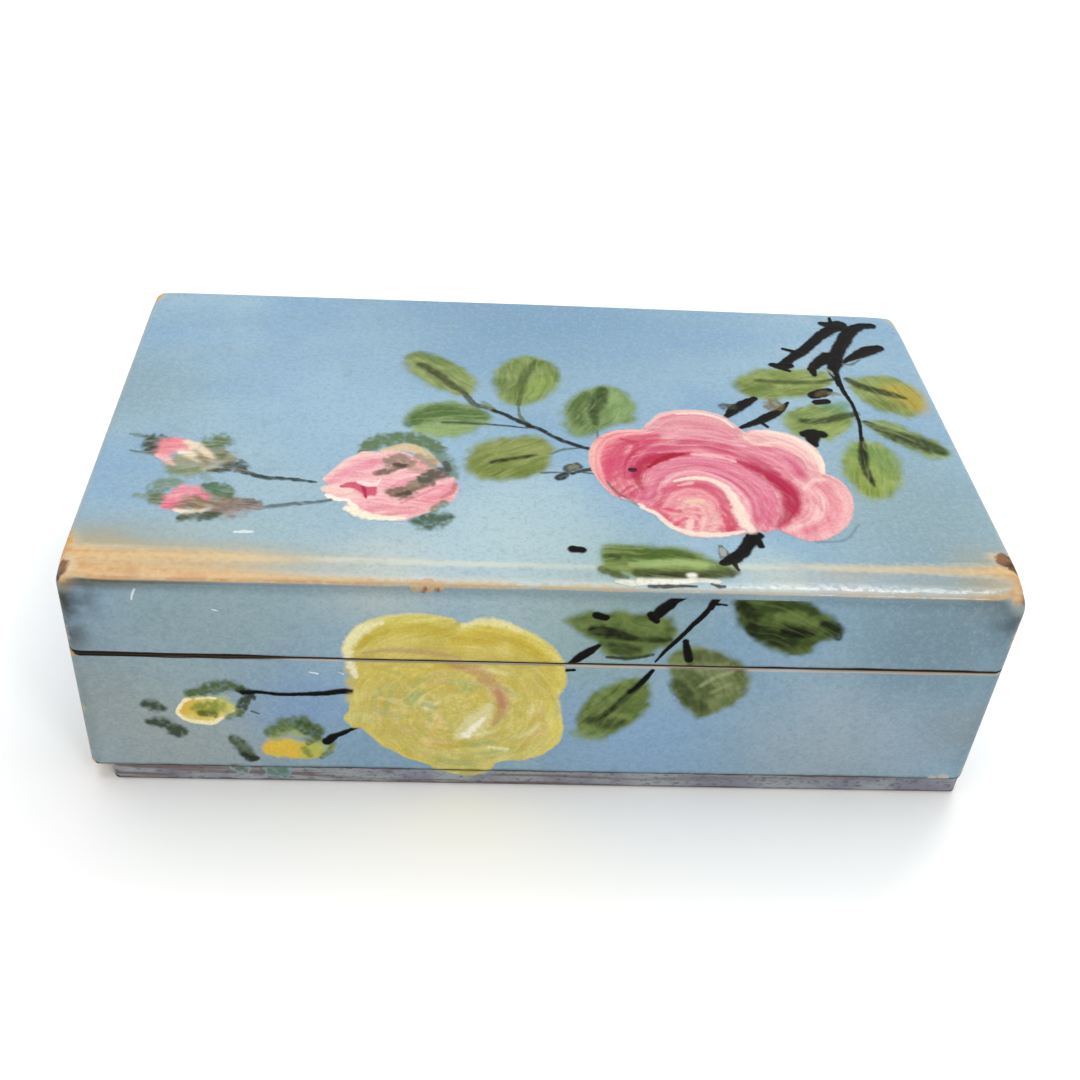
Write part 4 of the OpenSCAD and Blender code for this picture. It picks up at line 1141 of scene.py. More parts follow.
for path, widths, colours, hairs in [
    ([(-48.2, 33.2), (-45.8, 36.6), (-42.9, 40.2), (-39.4, 42.2), (-35.4, 43.5)], [1.4, 2.5, 3.1, 3, 1.8],
     [(250, 216, 206), (240, 176, 184)], 8),
    ([(-46.9, 32.5), (-43.5, 35.9), (-40.1, 39.1), (-37.1, 41.5)], [1.8, 3.4, 3.5, 2],
     [(242, 182, 188), (226, 134, 156), (240, 176, 184)], 8),
    ([(-46, 32.1), (-42.6, 34.5), (-39.1, 36.1), (-36.1, 37.7)], [1.2, 2.9, 2.9, 1.7],
     [(234, 154, 172), (244, 190, 192)], 6),
    ([(-47.6, 29.5), (-44.9, 29.2), (-42.3, 27.8), (-40.5, 26)], [2.5, 4.1, 3.3, 2],
     [(252, 220, 206), (246, 200, 194)], 6),
    ([(-41.7, 24.2), (-37.9, 27.5), (-34.1, 31.3), (-30.7, 34.4), (-27.2, 36)], [2.9, 5, 5.1, 4.7, 3.3],
     [(242, 180, 186), (246, 198, 198), (234, 156, 170)], 12),
    ([(-40.7, 22.4), (-36.5, 24), (-32.3, 26.2), (-28, 28.5), (-24, 31.6), (-21.4, 33.9)],
     [3.2, 4.7, 4.7, 4.6, 4.4, 2.9], [(236, 164, 174), (246, 200, 198), (230, 148, 162)], 14),
    ([(-33.4, 21.2), (-27.9, 23.5), (-23.2, 27.6), (-20.5, 31.3)], [2.3, 3.8, 3.4, 2.6],
     [(240, 168, 176), (228, 138, 154), (240, 178, 182)], 10),
    ([(-36, 44.9), (-31.4, 46.4), (-27.2, 44.2), (-24, 40.4)], [1.4, 2.6, 2.4, 1.4],
     [(206, 192, 142), (232, 196, 172)], 8),
]:
    lid_art.pull(path, widths, colours, hairs, soft=0.7, thick=0.06)
lid_art.soften(bud, 0.8)
lid_art.streak(bud, (-34, -30), (222, 126, 146), (252, 222, 212), 0.4, turns=12.0)
lid_art.touches([
    ([(-44.4, 30.7), (-42.4, 31.1), (-40.6, 30.4), (-38.8, 29), (-37.4, 30.1)], [1.1, 2.3, 3.3, 3.6, 0.8],
     (206, 78, 110), 0.92, 0.6, 0.1),
    ([(-40.7, 31.9), (-39.7, 29.7), (-39.2, 26.8)], [0.6, 1, 0.6], (172, 34, 68), 0.85, 0.7, 0.1),
    ([(-40.7, 32.2), (-38.9, 31.5), (-37.2, 32), (-36.4, 33.5)], [1, 1.7, 1.2, 0.4], (252, 228, 224), 0.92,
     0.6, 0.1),
    ([(-31.4, 25.2), (-27.1, 28.6), (-22.7, 32)], [0.7, 0.9, 0.7], (220, 122, 144), 0.6, 0.9, 0.3),
    ([(-34.5, 29.8), (-32, 32.9), (-28.5, 34.8)], [0.6, 0.9, 0.7], (222, 128, 148), 0.5, 0.9, 0.3),
    ([(-22.7, 27.6), (-20.7, 29.5), (-19.8, 32.4)], [0.8, 1.2, 1], (190, 104, 108), 0.7, 1.0, 0.4),
    ([(-24.4, 23.2), (-22.5, 25.4)], [2, 2], (98, 112, 74), 0.75, 1.0, 0.5),
    ([(-37.1, 36.1), (-35.2, 36.6), (-33.4, 38.1), (-31, 39)], [2, 2.5, 1.9, 1.5], (104, 90, 74), 0.9, 0.8,
     0.45),
    ([(-34.4, 40.4), (-32.6, 41.3), (-30.6, 40.5)], [3.5, 4.8, 3.5], (132, 118, 100), 0.85, 0.9, 0.5),
    ([(-33, 39.3), (-31, 39)], [1.5, 1.5], (64, 54, 46), 0.8, 0.8, 0.4),
    ([(-29.4, 38.6), (-27.2, 37.1), (-24.9, 36.1)], [2.4, 2.9, 2], (168, 136, 118), 0.7, 1.0, 0.5),
    ([(-27.7, 42.6), (-25.4, 40.7)], [2.8, 3.7], (160, 136, 98), 0.75, 1.0, 0.5),
    ([(-32.7, 28.8), (-31, 28.8), (-28.9, 31.1), (-26, 33)], [3.9, 4, 3.4, 3.5], (112, 102, 80), 0.92, 0.8,
     0.4),
    ([(-32.3, 28), (-30.1, 28.8)], [1.4, 1.4], (66, 58, 46), 0.8, 0.8, 0.4),
    ([(-29.3, 32.2), (-27.1, 33.7)], [2.2, 2.3], (156, 142, 118), 0.7, 0.9, 0.4),
    ([(-26.3, 34.5), (-24.5, 36.1), (-22.5, 36.9)], [3.4, 4.1, 3.8], (82, 84, 74), 0.92, 0.8, 0.4),
    ([(-22, 40.4), (-21.4, 38.1)], [1.7, 1.6], (76, 80, 68), 0.85, 0.9, 0.4),
    ([(-47.4, 27.3), (-45.6, 26.2), (-43, 25.6)], [1.4, 1.5, 1], (254, 246, 228), 0.92, 0.6, 0.3),
    ([(-43.1, 22.7), (-41.6, 22), (-38.5, 20.3), (-34.7, 19.8), (-30.8, 19.9)], [1.4, 2.5, 2, 1.6, 0.9],
     (254, 244, 218), 0.92, 0.7, 0.25),
    ([(-42.3, 24.5), (-41.2, 23.1)], [1, 1.4], (254, 244, 222), 0.9, 0.7, 0.2),
], thick=0.06, rag=0.3, grit=0.6)

# Two small buds at the left, with their stems
lid_art.touches([
    ([(-94, 48.5), (-91.7, 48.1), (-88.9, 47.4)], [0.8, 1.3, 1.1], (100, 126, 110), 0.75, 1.0, 0.4),
    ([(-92.3, 42), (-89.5, 41.3), (-86.6, 41)], [0.7, 1, 1.3], (82, 98, 92), 0.8, 0.9, 0.4),
    ([(-88.6, 44.1), (-87.6, 45.8), (-85.6, 46.2)], [2.7, 4.9, 2.9], (56, 68, 34), 0.95, 1.0, 0.4),
    ([(-87.9, 42.1), (-86.3, 43), (-84.7, 42.6)], [2.7, 3.9, 2.1], (54, 60, 34), 0.9, 1.0, 0.4),
    ([(-81.6, 38), (-78.9, 37.7), (-76, 38.9), (-73.1, 40.2), (-71, 39.8)], [4.4, 7.9, 8.3, 8, 4.4],
     (156, 146, 102), 0.85, 1.1, 0.5),
    ([(-81.5, 34.9), (-79.3, 34.6), (-77, 35)], [3.2, 3.9, 2.2], (112, 134, 92), 0.75, 1.1, 0.5),
    ([(-75, 45.3), (-73.8, 46.1), (-72.4, 45.8)], [4.3, 5.7, 3.2], (92, 116, 60), 0.9, 1.0, 0.4),
    ([(-73.4, 42.9), (-71.8, 41)], [3.1, 2.7], (84, 102, 56), 0.8, 1.0, 0.5),
    ([(-85.1, 41.4), (-83.8, 44.3), (-81.8, 44.3), (-80.2, 42.4)], [3, 5.7, 4.8, 2.4], (242, 152, 160),
     0.95, 0.7, 0.15),
    ([(-84.7, 44.6), (-82.6, 45.1)], [2.8, 2.8], (234, 128, 144), 0.7, 1.0, 0.4),
    ([(-86.1, 40.2), (-84.1, 39.1), (-82.3, 37.2)], [1.3, 2, 1], (248, 190, 188), 0.9, 0.8, 0.3),
    ([(-80.4, 45.6), (-78.9, 44.4), (-76.9, 42.4), (-74.2, 40.1)], [1.7, 2.9, 2.5, 1.4], (246, 224, 192),
     0.9, 0.9, 0.45),
    ([(-80.8, 41.9), (-78.5, 41.2)], [1.9, 1.9], (252, 240, 216), 0.9, 0.8, 0.3),
    ([(-79.9, 40.4), (-77, 38.5)], [1.1, 0.8], (238, 216, 182), 0.8, 0.9, 0.4),
    ([(-78.2, 42.4), (-75.1, 38.9)], [1.2, 1.4], (134, 118, 78), 0.7, 1.0, 0.6),
    ([(-75.6, 35.8), (-73.2, 36.3)], [0.8, 0.8], (208, 194, 152), 0.8, 0.9, 0.3),
    ([(-74.2, 35.1), (-72.4, 35.2), (-69.9, 35.6)], [1, 1.5, 1.5], (50, 66, 50), 0.92, 0.8, 0.3),
    ([(-69.7, 37.5), (-67.9, 37.2), (-66.6, 35.7)], [3, 4, 1.9], (54, 68, 56), 0.92, 0.9, 0.4),
    ([(-67.7, 35.7), (-64.5, 34.2), (-61.3, 33.2), (-57.8, 32.9), (-54.3, 32.6), (-50.6, 32)],
     [1.5, 1.3, 1.4, 1.2, 1.1, 0.8], (44, 62, 58), 0.95, 0.7, 0.25),
    ([(-75, 33.2), (-73.8, 32.5)], [1.8, 1.8], (120, 148, 140), 0.6, 1.1, 0.4),
    ([(-85, 26.2), (-83.6, 28.4), (-82.1, 30), (-80.6, 30)], [2.2, 4.2, 4.9, 2.8], (110, 132, 90), 0.75,
     1.2, 0.5),
    ([(-88, 25.4), (-85.6, 25.1), (-83.2, 24.4)], [1.4, 2.6, 3.5], (118, 140, 114), 0.7, 1.2, 0.5),
    ([(-83.1, 24.1), (-81.1, 23.4)], [3.4, 2.9], (84, 106, 58), 0.85, 1.1, 0.4),
    ([(-73.9, 23.2), (-71.5, 23.7), (-69.6, 24.1)], [5.1, 6.6, 5.6], (148, 136, 94), 0.9, 1.0, 0.45),
    ([(-80.6, 22.7), (-79.3, 25.3), (-77.2, 26.8), (-75, 26.5), (-73.3, 25.1)], [2.5, 4.8, 5.2, 3.8, 1.5],
     (240, 150, 164), 0.95, 0.7, 0.15),
    ([(-80.6, 22.3), (-78.8, 22)], [3.3, 3.3], (228, 112, 140), 0.8, 0.9, 0.3),
    ([(-75.3, 27.2), (-73.6, 25.8)], [1.9, 1.6], (230, 116, 142), 0.7, 0.9, 0.4),
    ([(-77.3, 22.8), (-75.7, 23.6), (-74.2, 23.2)], [3.9, 4.9, 3.3], (134, 112, 86), 0.9, 0.9, 0.5),
    ([(-78.8, 20.6), (-76.5, 20), (-74, 20.4), (-71.8, 21.5)], [1.1, 1.4, 1.1, 0.7], (250, 234, 208), 0.92,
     0.8, 0.3),
    ([(-73.6, 29.1), (-71.7, 28.8), (-69.4, 27.7), (-68.5, 25.9)], [3, 4.3, 3.6, 1.9], (80, 114, 80), 0.92,
     1.0, 0.35),
    ([(-69.8, 22.3), (-67.5, 22), (-65.2, 22.8), (-63.3, 23.2), (-62.3, 22.9)], [4.9, 6.5, 4.5, 3.5, 2.4],
     (138, 116, 106), 0.9, 1.0, 0.45),
    ([(-66, 23.8), (-63.2, 23.6)], [3, 3], (104, 86, 76), 0.75, 1.0, 0.4),
    ([(-77.4, 17.8), (-75, 18.6), (-72.1, 18.7), (-69.9, 19.4)], [2, 2.7, 3, 2], (62, 74, 46), 0.92, 1.0,
     0.45),
    ([(-61.5, 22.2), (-58.7, 23), (-54.9, 23.8), (-50.7, 24.6), (-46.9, 25.5)], [1.2, 1.4, 1.3, 1.1, 0.9],
     (92, 108, 114), 0.9, 0.8, 0.2),
], thick=0.04, rag=0.35, grit=0.6)
buds = lid_art.part([(-94, 16), (-52, 49)], 0)
lid_art.soften((buds, lid_art.cover[buds]), 0.6)
lid_art.streak((buds, lid_art.cover[buds]), (-78, -30), (70, 66, 52), (250, 226, 206), 0.22, turns=12.0)

# Open rose: ground, petals from the outside in, single strokes of dark and light, and the pale rims
rose = lid_art.fill([(10.7, 44.4), (11.9, 50), (14.1, 53.4), (16.9, 55.6), (21.1, 56.6), (25.5, 56.6),
              (26.4, 58.2), (28.4, 61.2), (31.9, 63.4), (35.8, 64.6), (40.9, 64.6), (44.2, 62.8),
              (46.1, 60), (48.2, 56.6), (50, 57.4), (53.9, 57.8), (57.8, 56.9), (61, 54.7), (63.3, 51.6),
              (65, 48.7), (65.3, 45), (64.8, 40.4), (67, 38.1), (68.6, 35), (68.6, 30), (67.3, 25),
              (64.7, 20.6), (61, 17.2), (57.1, 15.8), (53.5, 17), (50.6, 19.1), (47.4, 19.2), (44.2, 18.8),
              (41.6, 17.5), (37.1, 16.7), (31.9, 16.2), (28.8, 17.2), (26.8, 19.4), (25.5, 21.9),
              (23.3, 24.4), (21.3, 26.6), (17.5, 28.9), (15, 31.9), (14.1, 35.6), (12.2, 38.1),
              (11.1, 41.2)],
             [(236, 160, 168), (224, 126, 146)], soft=0.6, rag=0.2)
petals = [
    ([(26.8, 57.5), (30.4, 61.8), (36, 63.4), (42.2, 62.2), (46.9, 57)], [3.6, 4.4, 4.4, 4.4, 3],
     [(246, 204, 198), (232, 170, 174), (220, 140, 154)], 14),
    ([(25.8, 55.5), (31.4, 59.5), (38.1, 60.5), (44.3, 57.5), (48.4, 53)], [4.4, 5, 5, 5, 4],
     [(230, 168, 172), (216, 132, 148), (228, 160, 168)], 14),
    ([(27.8, 52.5), (35, 56), (42.2, 55), (48.4, 50.5)], [4, 5.4, 5.4, 4],
     [(226, 148, 160), (236, 176, 182), (220, 130, 150)], 12),
    ([(48.9, 55.5), (53.6, 56.4), (58.8, 54.4), (62.6, 50.5), (64, 44.5), (63.6, 40.5)],
     [2.6, 3.4, 4, 3.4, 3, 2], [(252, 228, 216), (246, 204, 198), (236, 172, 178)], 14),
    ([(47.4, 52), (53.6, 53), (58.8, 49.5), (61.4, 44), (61.9, 38)], [4, 5.4, 5.4, 5, 4],
     [(244, 208, 198), (230, 160, 170), (240, 190, 190)], 14),
    ([(48.9, 49.4), (54.6, 48.5), (58.3, 45), (59.3, 40)], [3, 4.4, 4.4, 3],
     [(226, 140, 158), (206, 92, 126), (224, 140, 160)], 10),
    ([(40.1, 49), (47.4, 48.6), (53.6, 45), (57.2, 38)], [3, 4, 4, 3],
     [(238, 174, 180), (224, 132, 152), (214, 108, 136)], 10),
    ([(61.9, 41), (66.1, 37.5), (67.2, 31), (65.6, 25), (61.9, 20), (56.7, 17.2)],
     [2.6, 3.4, 3.4, 3.4, 3.4, 2.6], [(242, 186, 184), (230, 150, 160), (246, 206, 200)], 14),
    ([(59.8, 38), (63, 33), (63, 27), (60.4, 22), (54.6, 19)], [3, 4.6, 5, 5, 4],
     [(240, 170, 174), (226, 132, 150), (248, 210, 204)], 14),
    ([(58.4, 37), (59.3, 31), (57.8, 25), (52.1, 20.5)], [3, 4, 4, 3],
     [(246, 206, 200), (232, 154, 164), (240, 180, 182)], 12),
    ([(15.6, 31), (13.3, 37), (12.5, 44), (14.5, 50.6), (18.7, 54.4), (24.8, 55.2)],
     [2.2, 3, 3.2, 3.4, 3.2, 2.4], [(246, 192, 182), (236, 148, 154), (220, 100, 124)], 14),
    ([(17.7, 31), (16.2, 38), (16.2, 45), (19.7, 51), (26.8, 53.2)], [4, 5, 5.4, 5, 3.6],
     [(230, 114, 136), (196, 52, 88), (218, 98, 126)], 14),
    ([(20.7, 31.5), (19.7, 38), (21.2, 44), (25.8, 49.2), (33, 51.2)], [4, 4.6, 5, 5, 4],
     [(190, 50, 84), (222, 106, 136), (206, 78, 110)], 14),
    ([(25.8, 48.5), (33, 51.4), (40.1, 51), (47.4, 47), (53.1, 41)], [3, 3.6, 4, 4, 3.4],
     [(226, 132, 154), (188, 56, 92), (216, 108, 136)], 12),
    ([(21.2, 33), (23.2, 40.5), (27.8, 45), (34, 47.3)], [2.4, 3.4, 3.2, 1.4],
     [(216, 84, 116), (166, 20, 48), (194, 54, 88)], 7),
    ([(36, 45.5), (41.2, 44.5), (46.3, 43), (51.5, 38.5), (54.6, 33), (54.1, 27), (50.5, 21.5)],
     [1.2, 2, 3, 4.6, 5.4, 4.8, 3], [(218, 100, 132), (172, 22, 60), (202, 70, 104)], 10),
    ([(22.2, 30.5), (24.8, 38.5), (29.9, 43), (36, 44), (42.2, 42.5), (47.4, 38.5), (50.5, 32), (50, 25),
      (47.4, 20.2)],
     [3.6, 4, 3.8, 3.6, 3.6, 4, 4, 4, 3], [(238, 166, 180), (214, 102, 134), (230, 146, 166)], 20),
    ([(24.3, 30), (26.8, 36.5), (31.9, 40.5), (38.1, 40.5), (43.2, 37), (46.3, 31), (46.3, 24), (44.9, 19.8)],
     [3.2, 3.8, 3.8, 3.8, 3.8, 3.8, 3.8, 2.6], [(232, 154, 170), (200, 76, 112), (224, 132, 154)], 20),
    ([(25.8, 33), (29.9, 38), (35.5, 39.3), (40.7, 36), (43.6, 30), (43.9, 23)],
     [1.6, 2.2, 2.4, 2.4, 2.4, 2], [(242, 184, 190), (226, 136, 156)], 8),
    ([(25.4, 27.5), (28, 33), (33, 35.4), (37.6, 33.5), (40.1, 28.5), (40.6, 22), (39.3, 18.4)],
     [3, 3.4, 3.4, 3.4, 3.4, 3.2, 2.2], [(226, 134, 152), (196, 60, 94), (218, 104, 130)], 12),
    ([(26.4, 24), (28.9, 29.5), (33, 32), (36.5, 30), (38.1, 25), (37.6, 19.5)], [3.4, 4, 4, 4, 4, 3],
     [(240, 172, 176), (224, 126, 144), (238, 174, 174)], 14),
    ([(29.9, 24.6), (31.9, 28.5), (35, 27.5), (36, 23), (34.2, 18.8)], [3, 3.4, 3.4, 3.4, 3],
     [(240, 198, 182), (228, 146, 156), (246, 212, 194)], 12),
    ([(24.2, 25.6), (26, 22), (29.4, 19)], [2, 2.6, 2], [(214, 84, 112), (232, 140, 154)], 5),
]
for path, widths, colours, hairs in petals:
    lid_art.pull(path, widths, colours, hairs)
lid_art.soften(rose, 0.9)
lid_art.streak(rose, (33, 19), (188, 58, 92), (252, 216, 208), 0.26, 0.9, 2.5)
lid_art.streak(rose, (33, 19), (196, 72, 104), (250, 208, 200), 0.3, 2.2, 4.0)
for path, widths, colours, hairs in petals:
    lid_art.drag(path, widths, colours, hairs, 0.45, 0.5)
for path, widths, colour, strength, soft in [
    ([(35, 57.6), (41.2, 57.6), (45.3, 54.5)], [0.8, 1.4, 0.8], (212, 112, 136), 0.45, 1.0),
    ([(21.6, 33.5), (21.2, 39.5), (24.3, 44.2), (30.4, 47.2)], [1.4, 2.8, 3, 1.2], (172, 30, 66), 0.7, 1.1),
    ([(45.4, 44.8), (51, 40.2), (54.8, 34), (55, 28), (52, 22.5)], [1.4, 3.6, 4.8, 4.6, 2.4], (172, 28, 66),
     0.62, 1.3),
    ([(14.6, 36), (15, 43), (18.4, 49.4), (24, 52.4)], [1.4, 2.6, 2.4, 1], (204, 66, 100), 0.55, 1.1),
    ([(38.6, 27), (40.6, 22.5), (40.2, 19)], [0.8, 1.8, 1.6], (198, 62, 94), 0.6, 1.1),
    ([(24.3, 41.5), (27.8, 44.8), (32.7, 47)], [1, 2, 0.8], (164, 22, 46), 0.85, 0.7),
    ([(35, 46.9), (39.6, 46.6), (44.3, 44.6)], [0.8, 1.4, 0.8], (244, 192, 196), 0.8, 0.8),
    ([(58.8, 34.6), (61.3, 37.6), (64, 38.4)], [0.8, 1.8, 0.8], (248, 212, 206), 0.6, 1.1),
    ([(51.5, 51.6), (55.7, 52.8), (59.4, 51)], [0.8, 1.4, 0.8], (248, 214, 202), 0.7, 0.8),
    ([(48.4, 54.2), (50.5, 52), (54.2, 51.4)], [0.6, 1.2, 0.6], (246, 214, 198), 0.7, 0.8),
    ([(25.8, 25.6), (28.9, 25)], [1, 1.2], (206, 64, 96), 0.7, 0.8),
    ([(27.4, 20), (30.1, 22.4)], [1, 1.2], (212, 82, 110), 0.7, 0.8),
    ([(38.9, 23.4), (39.3, 18.6)], [1.2, 1.6], (208, 66, 98), 0.8, 0.8),
    ([(30.5, 18.8), (31.3, 21.6)], [1.6, 1.4], (252, 212, 202), 0.85, 0.8),
    ([(31.5, 28.6), (34.4, 29)], [1.2, 1.4], (238, 204, 178), 0.7, 0.9),
    ([(30.3, 34.6), (33, 35.6)], [0.6, 1.2], (248, 206, 200), 0.6, 1.1),
    ([(18.9, 52.4), (22.1, 50.6), (21.1, 47.6)], [0.8, 1.6, 0.8], (194, 50, 84), 0.6, 0.9),
]:
    lid_art.brush(path, widths, [colour], strength, soft + 0.3, rag=0.4)
for path, widths in [
    ([(29.5, 36.2), (33.5, 37.5), (38.1, 36.8), (41, 33.4), (42.2, 28), (42.8, 22.5), (44, 19.2)],
     [0.6, 1.4, 1.6, 2, 2.4, 3.2, 2.4]),
    ([(21.2, 25.9), (24.2, 23.6), (26.6, 19.8), (30.9, 17.3), (37.1, 17.1), (42.2, 18.4)],
     [1, 1.2, 1.3, 1.7, 1.4, 0.8]),
    ([(17.2, 29.3), (21.3, 26.6)], [0.5, 0.8]),
    ([(33.4, 63.7), (39.1, 64.1), (43.9, 62), (46.2, 58.6)], [0.5, 0.8, 0.9, 0.5]),
    ([(54.6, 57.2), (59.8, 55), (63, 51), (64.5, 46), (64.2, 41)], [0.5, 0.9, 1.1, 1.5, 1]),
]:
    lid_art.brush(path, widths, [CREAM, (250, 222, 210)], 0.9, 1.0, 0.3, thick=0.1, rag=0.25)
# Thin bluish-grey lines along the rose's lower edges, a painted shadow of its edge, and a short pale mark at
# the left
for path, width, colour, strength in [
    ([(14.2, 35), (16.2, 31), (19.7, 27.6)], 0.8, (78, 72, 84), 0.6),
    ([(57.8, 15.6), (64, 16.6), (68.2, 22)], 0.7, (96, 116, 134), 0.4),
    ([(-65.4, 13.7), (-62.2, 13.9)], [0.9, 1.2, 0.8], (232, 240, 242), 0.8),
]:
    lid_art.brush(path, width, [colour], strength, 0.8, thick=0.01, rag=0.3)
lid_art.brush([(20.2, 40), (20.4, 40)], 1.6, [(74, 30, 48)])


# The share of cover at which a film begins and that of its rim, and how far off the wood rim and film lie
LEAST_COVER, RIM_COVER = 0.004, 0.03
RIM_OFF, FILM_OFF = -0.01, 0.03


def film(name, sheet, keep, lay_on, body):
    """The painted part of a sheet as a skin on the box: each point stands off the wood by the paint's
    thickness, and the unpainted rim round it dips just below, so the skin ends in the ground. keep limits it
    to one face."""
    painted = keep(sheet.x, sheet.s) & (sheet.cover > LEAST_COVER)
    cell = painted[:-1, :-1] & painted[:-1, 1:] & painted[1:, 1:] & painted[1:, :-1]
    faces = grid_faces(*sheet.x.shape)[cell.ravel()]
    used, faces = np.unique(faces, return_inverse=True)
    x, s, cover = sheet.x.ravel()[used], sheet.s.ravel()[used], sheet.cover.ravel()[used]
    off = np.where(cover < RIM_COVER, RIM_OFF, FILM_OFF) + sheet.body.ravel()[used] * smooth(cover / 0.6)
    chart = np.stack([x - x.min(), s - s.min()], -1)[faces.ravel()] / max(np.ptp(x), np.ptp(s))
    piece = mesh_piece(name, lay_on(x, s, off), faces.reshape(-1, 4).tolist(), chart, PAINTED, body)
    colour = np.concatenate([sheet.colour.reshape(-1, 3)[used], np.ones((len(used), 1))], 1)
    piece.data.attributes.new("paint", "FLOAT_COLOR", "POINT").data.foreach_set("color", colour.ravel())
    piece.data.attributes.new("cover", "FLOAT", "POINT").data.foreach_set("value", cover)


def on_lid(x, s, off):
    """Places on the lid's top, at a height off the board."""
    y = front + ARRIS + s
    return np.stack([x, y, lid_height(x, y) + off], -1)


# Left of the large rose, the rose and right of it, each up to a column of the sheet
for name, low, high in (("left", -99, 5.2), ("rose", 5.2, 68), ("right", 68, 99)):
    film(f"lid_painting_{name}", lid_art, lambda x, s: (x > low - 0.1) & (x < high + 0.1), on_lid, "lid")

# Ornament of the front
# A yellow rose with buds and leaves, painted across the seam and on to the edge of the bottom board,
# so the saw cut divides it: the upper part goes up with the lid.
front_art = Sheet((-92, 66), (-59.5, -0.9), lift=1.28)
leaves = front_art.leaves([
    ([(3.5, -8), (4.7, -6.6), (7.5, -5.4), (11.2, -5.3), (14.9, -5.2), (18.6, -5.1), (21.9, -5), (24.5, -6),
      (26.5, -8.2), (27.3, -11), (26.3, -13.3), (24.4, -15.1), (22.1, -16.9), (19.7, -18.1), (16.3, -18.5),
      (13.7, -17.7), (11.8, -16), (10.3, -14), (8.1, -12.7), (5.4, -10.5)],
     [(72, 90, 44), (112, 130, 72)]),
    ([(8, -35.7), (9, -32.3), (10.9, -29.4), (13.3, -26.9), (16.1, -25), (19, -24), (21.7, -24.6),
      (23.5, -26.9), (23.7, -30.6), (22.9, -34.4), (21, -37.6), (18.6, -40.2), (15.2, -42.2), (11.7, -42.6),
      (8.8, -40.5)],
     [(80, 100, 48), (122, 140, 80)]),
    ([(26.3, -19.7), (26.7, -16.7), (28.6, -14.9), (31.1, -14.3), (33.7, -14.8), (36.9, -15.8),
      (39.6, -17.2), (42.2, -19.5), (44, -22.7), (44.9, -25.7), (44.1, -28.8), (42.3, -31.3), (40, -33.2),
      (37.6, -35.2), (35, -35.6), (32.5, -33.8), (30.3, -30.7), (28.1, -26.8)],
     [(84, 96, 54), (128, 138, 92)]),
    ([(37.2, -2), (38.3, -0.6), (40.7, -0.3), (44.8, -0.1), (49, -0.5), (52.9, -1.2), (56.2, -3.3),
      (59.3, -6), (61.6, -9), (61.6, -11), (59.6, -11.7), (57.6, -12.3), (56.4, -14.7), (54.1, -16.2),
      (51, -16), (47.7, -14.3), (44.4, -12.1), (41.5, -9.9), (39.3, -7.2)],
     [(44, 58, 24), (86, 104, 50)]),
], soft=2.2, mottle=1.8, rag=0.6)
front_art.touches([
    ([(9.6, -10.4), (11.7, -10.6), (14.3, -11.4), (17.7, -12.4)], [2.5, 3.2, 2.8, 1.7], (16, 18, 11), 0.95,
     0.7, 0.45),
    ([(17.3, -12.4), (21.6, -12.8), (25.4, -12.7)], [1.5, 1.6, 1.5], (30, 38, 18), 0.9, 0.8, 0.45),
    ([(13.8, -14.8), (16, -15.9), (19, -16.1)], [2.2, 3.1, 2], (44, 56, 26), 0.88, 1.0, 0.55),
    ([(13.3, -18), (18, -18.2), (22.5, -17.1)], [0.8, 1, 0.9], (24, 30, 16), 0.9, 0.8, 0.3),
    ([(23.1, -21.8), (21.3, -25.2), (19.1, -28.3), (17.2, -31.4), (14.9, -34.6), (12.5, -36.9)],
     [1, 1.7, 2, 1.8, 1.8, 1.1], (18, 22, 12), 0.95, 0.7, 0.3),
    ([(11.2, -37.2), (14.8, -38.1), (17.9, -37.7)], [2.2, 3.6, 2.8], (40, 52, 26), 0.8, 1.1, 0.55),
    ([(18.3, -33.2), (21, -30.1)], [3.7, 4.1], (78, 96, 46), 0.6, 1.2, 0.5),
    ([(8, -41.5), (11.3, -42.7), (14.4, -42.9)], [2.2, 2.8, 1.9], (124, 144, 98), 0.7, 1.2, 0.4),
    ([(28.8, -25.6), (31.9, -29.4), (35.2, -32.4)], [3, 4.5, 3.3], (54, 68, 34), 0.85, 1.1, 0.55),
    ([(30, -21.9), (33.5, -24.8), (36, -28.7)], [2.8, 3.7, 2.6], (66, 80, 42), 0.75, 1.1, 0.55),
    ([(30.7, -17.2), (34.1, -17.1), (37.6, -17.9)], [2.5, 3.3, 2], (78, 88, 54), 0.7, 1.1, 0.6),
    ([(34.1, -26), (37.1, -23.2), (40.3, -21.6)], [0.8, 1.2, 0.8], (160, 166, 124), 0.7, 1.0, 0.4),
    ([(36.9, -27.8), (40.5, -25.2)], [0.8, 1], (152, 160, 114), 0.6, 1.0, 0.4),
    ([(39.4, -2.5), (41.9, -4.9), (42.6, -7.9)], [2.5, 2.9, 1.7], (18, 26, 9), 0.92, 1.0, 0.5),
    ([(42.5, -8.8), (45.3, -10.4), (48.6, -12), (51.3, -12.8)], [2.8, 4.2, 4.4, 2.6], (22, 30, 11), 0.92,
     1.0, 0.5),
    ([(43.8, -3.7), (47.2, -2), (52.7, -2.3)], [2.4, 3.6, 2.3], (48, 66, 26), 0.7, 1.1, 0.55),
    ([(47.8, -5.5), (51.2, -5.4), (55.3, -7)], [2.4, 3.4, 2.2], (114, 134, 72), 0.6, 1.1, 0.5),
    ([(50.2, -9.1), (52.9, -9.9), (54.8, -10.1)], [2.7, 3.1, 2.1], (9, 10, 5), 0.95, 0.7, 0.25),
    ([(57.8, -7.2), (60.3, -8.8), (61.3, -10.8)], [2, 3.1, 1.7], (20, 28, 11), 0.92, 1.0, 0.45),
], thick=0.02, rag=0.15, grit=0.6)
front_art.hairs(leaves, (22, 30, 12), (112, 126, 72), 0.24)
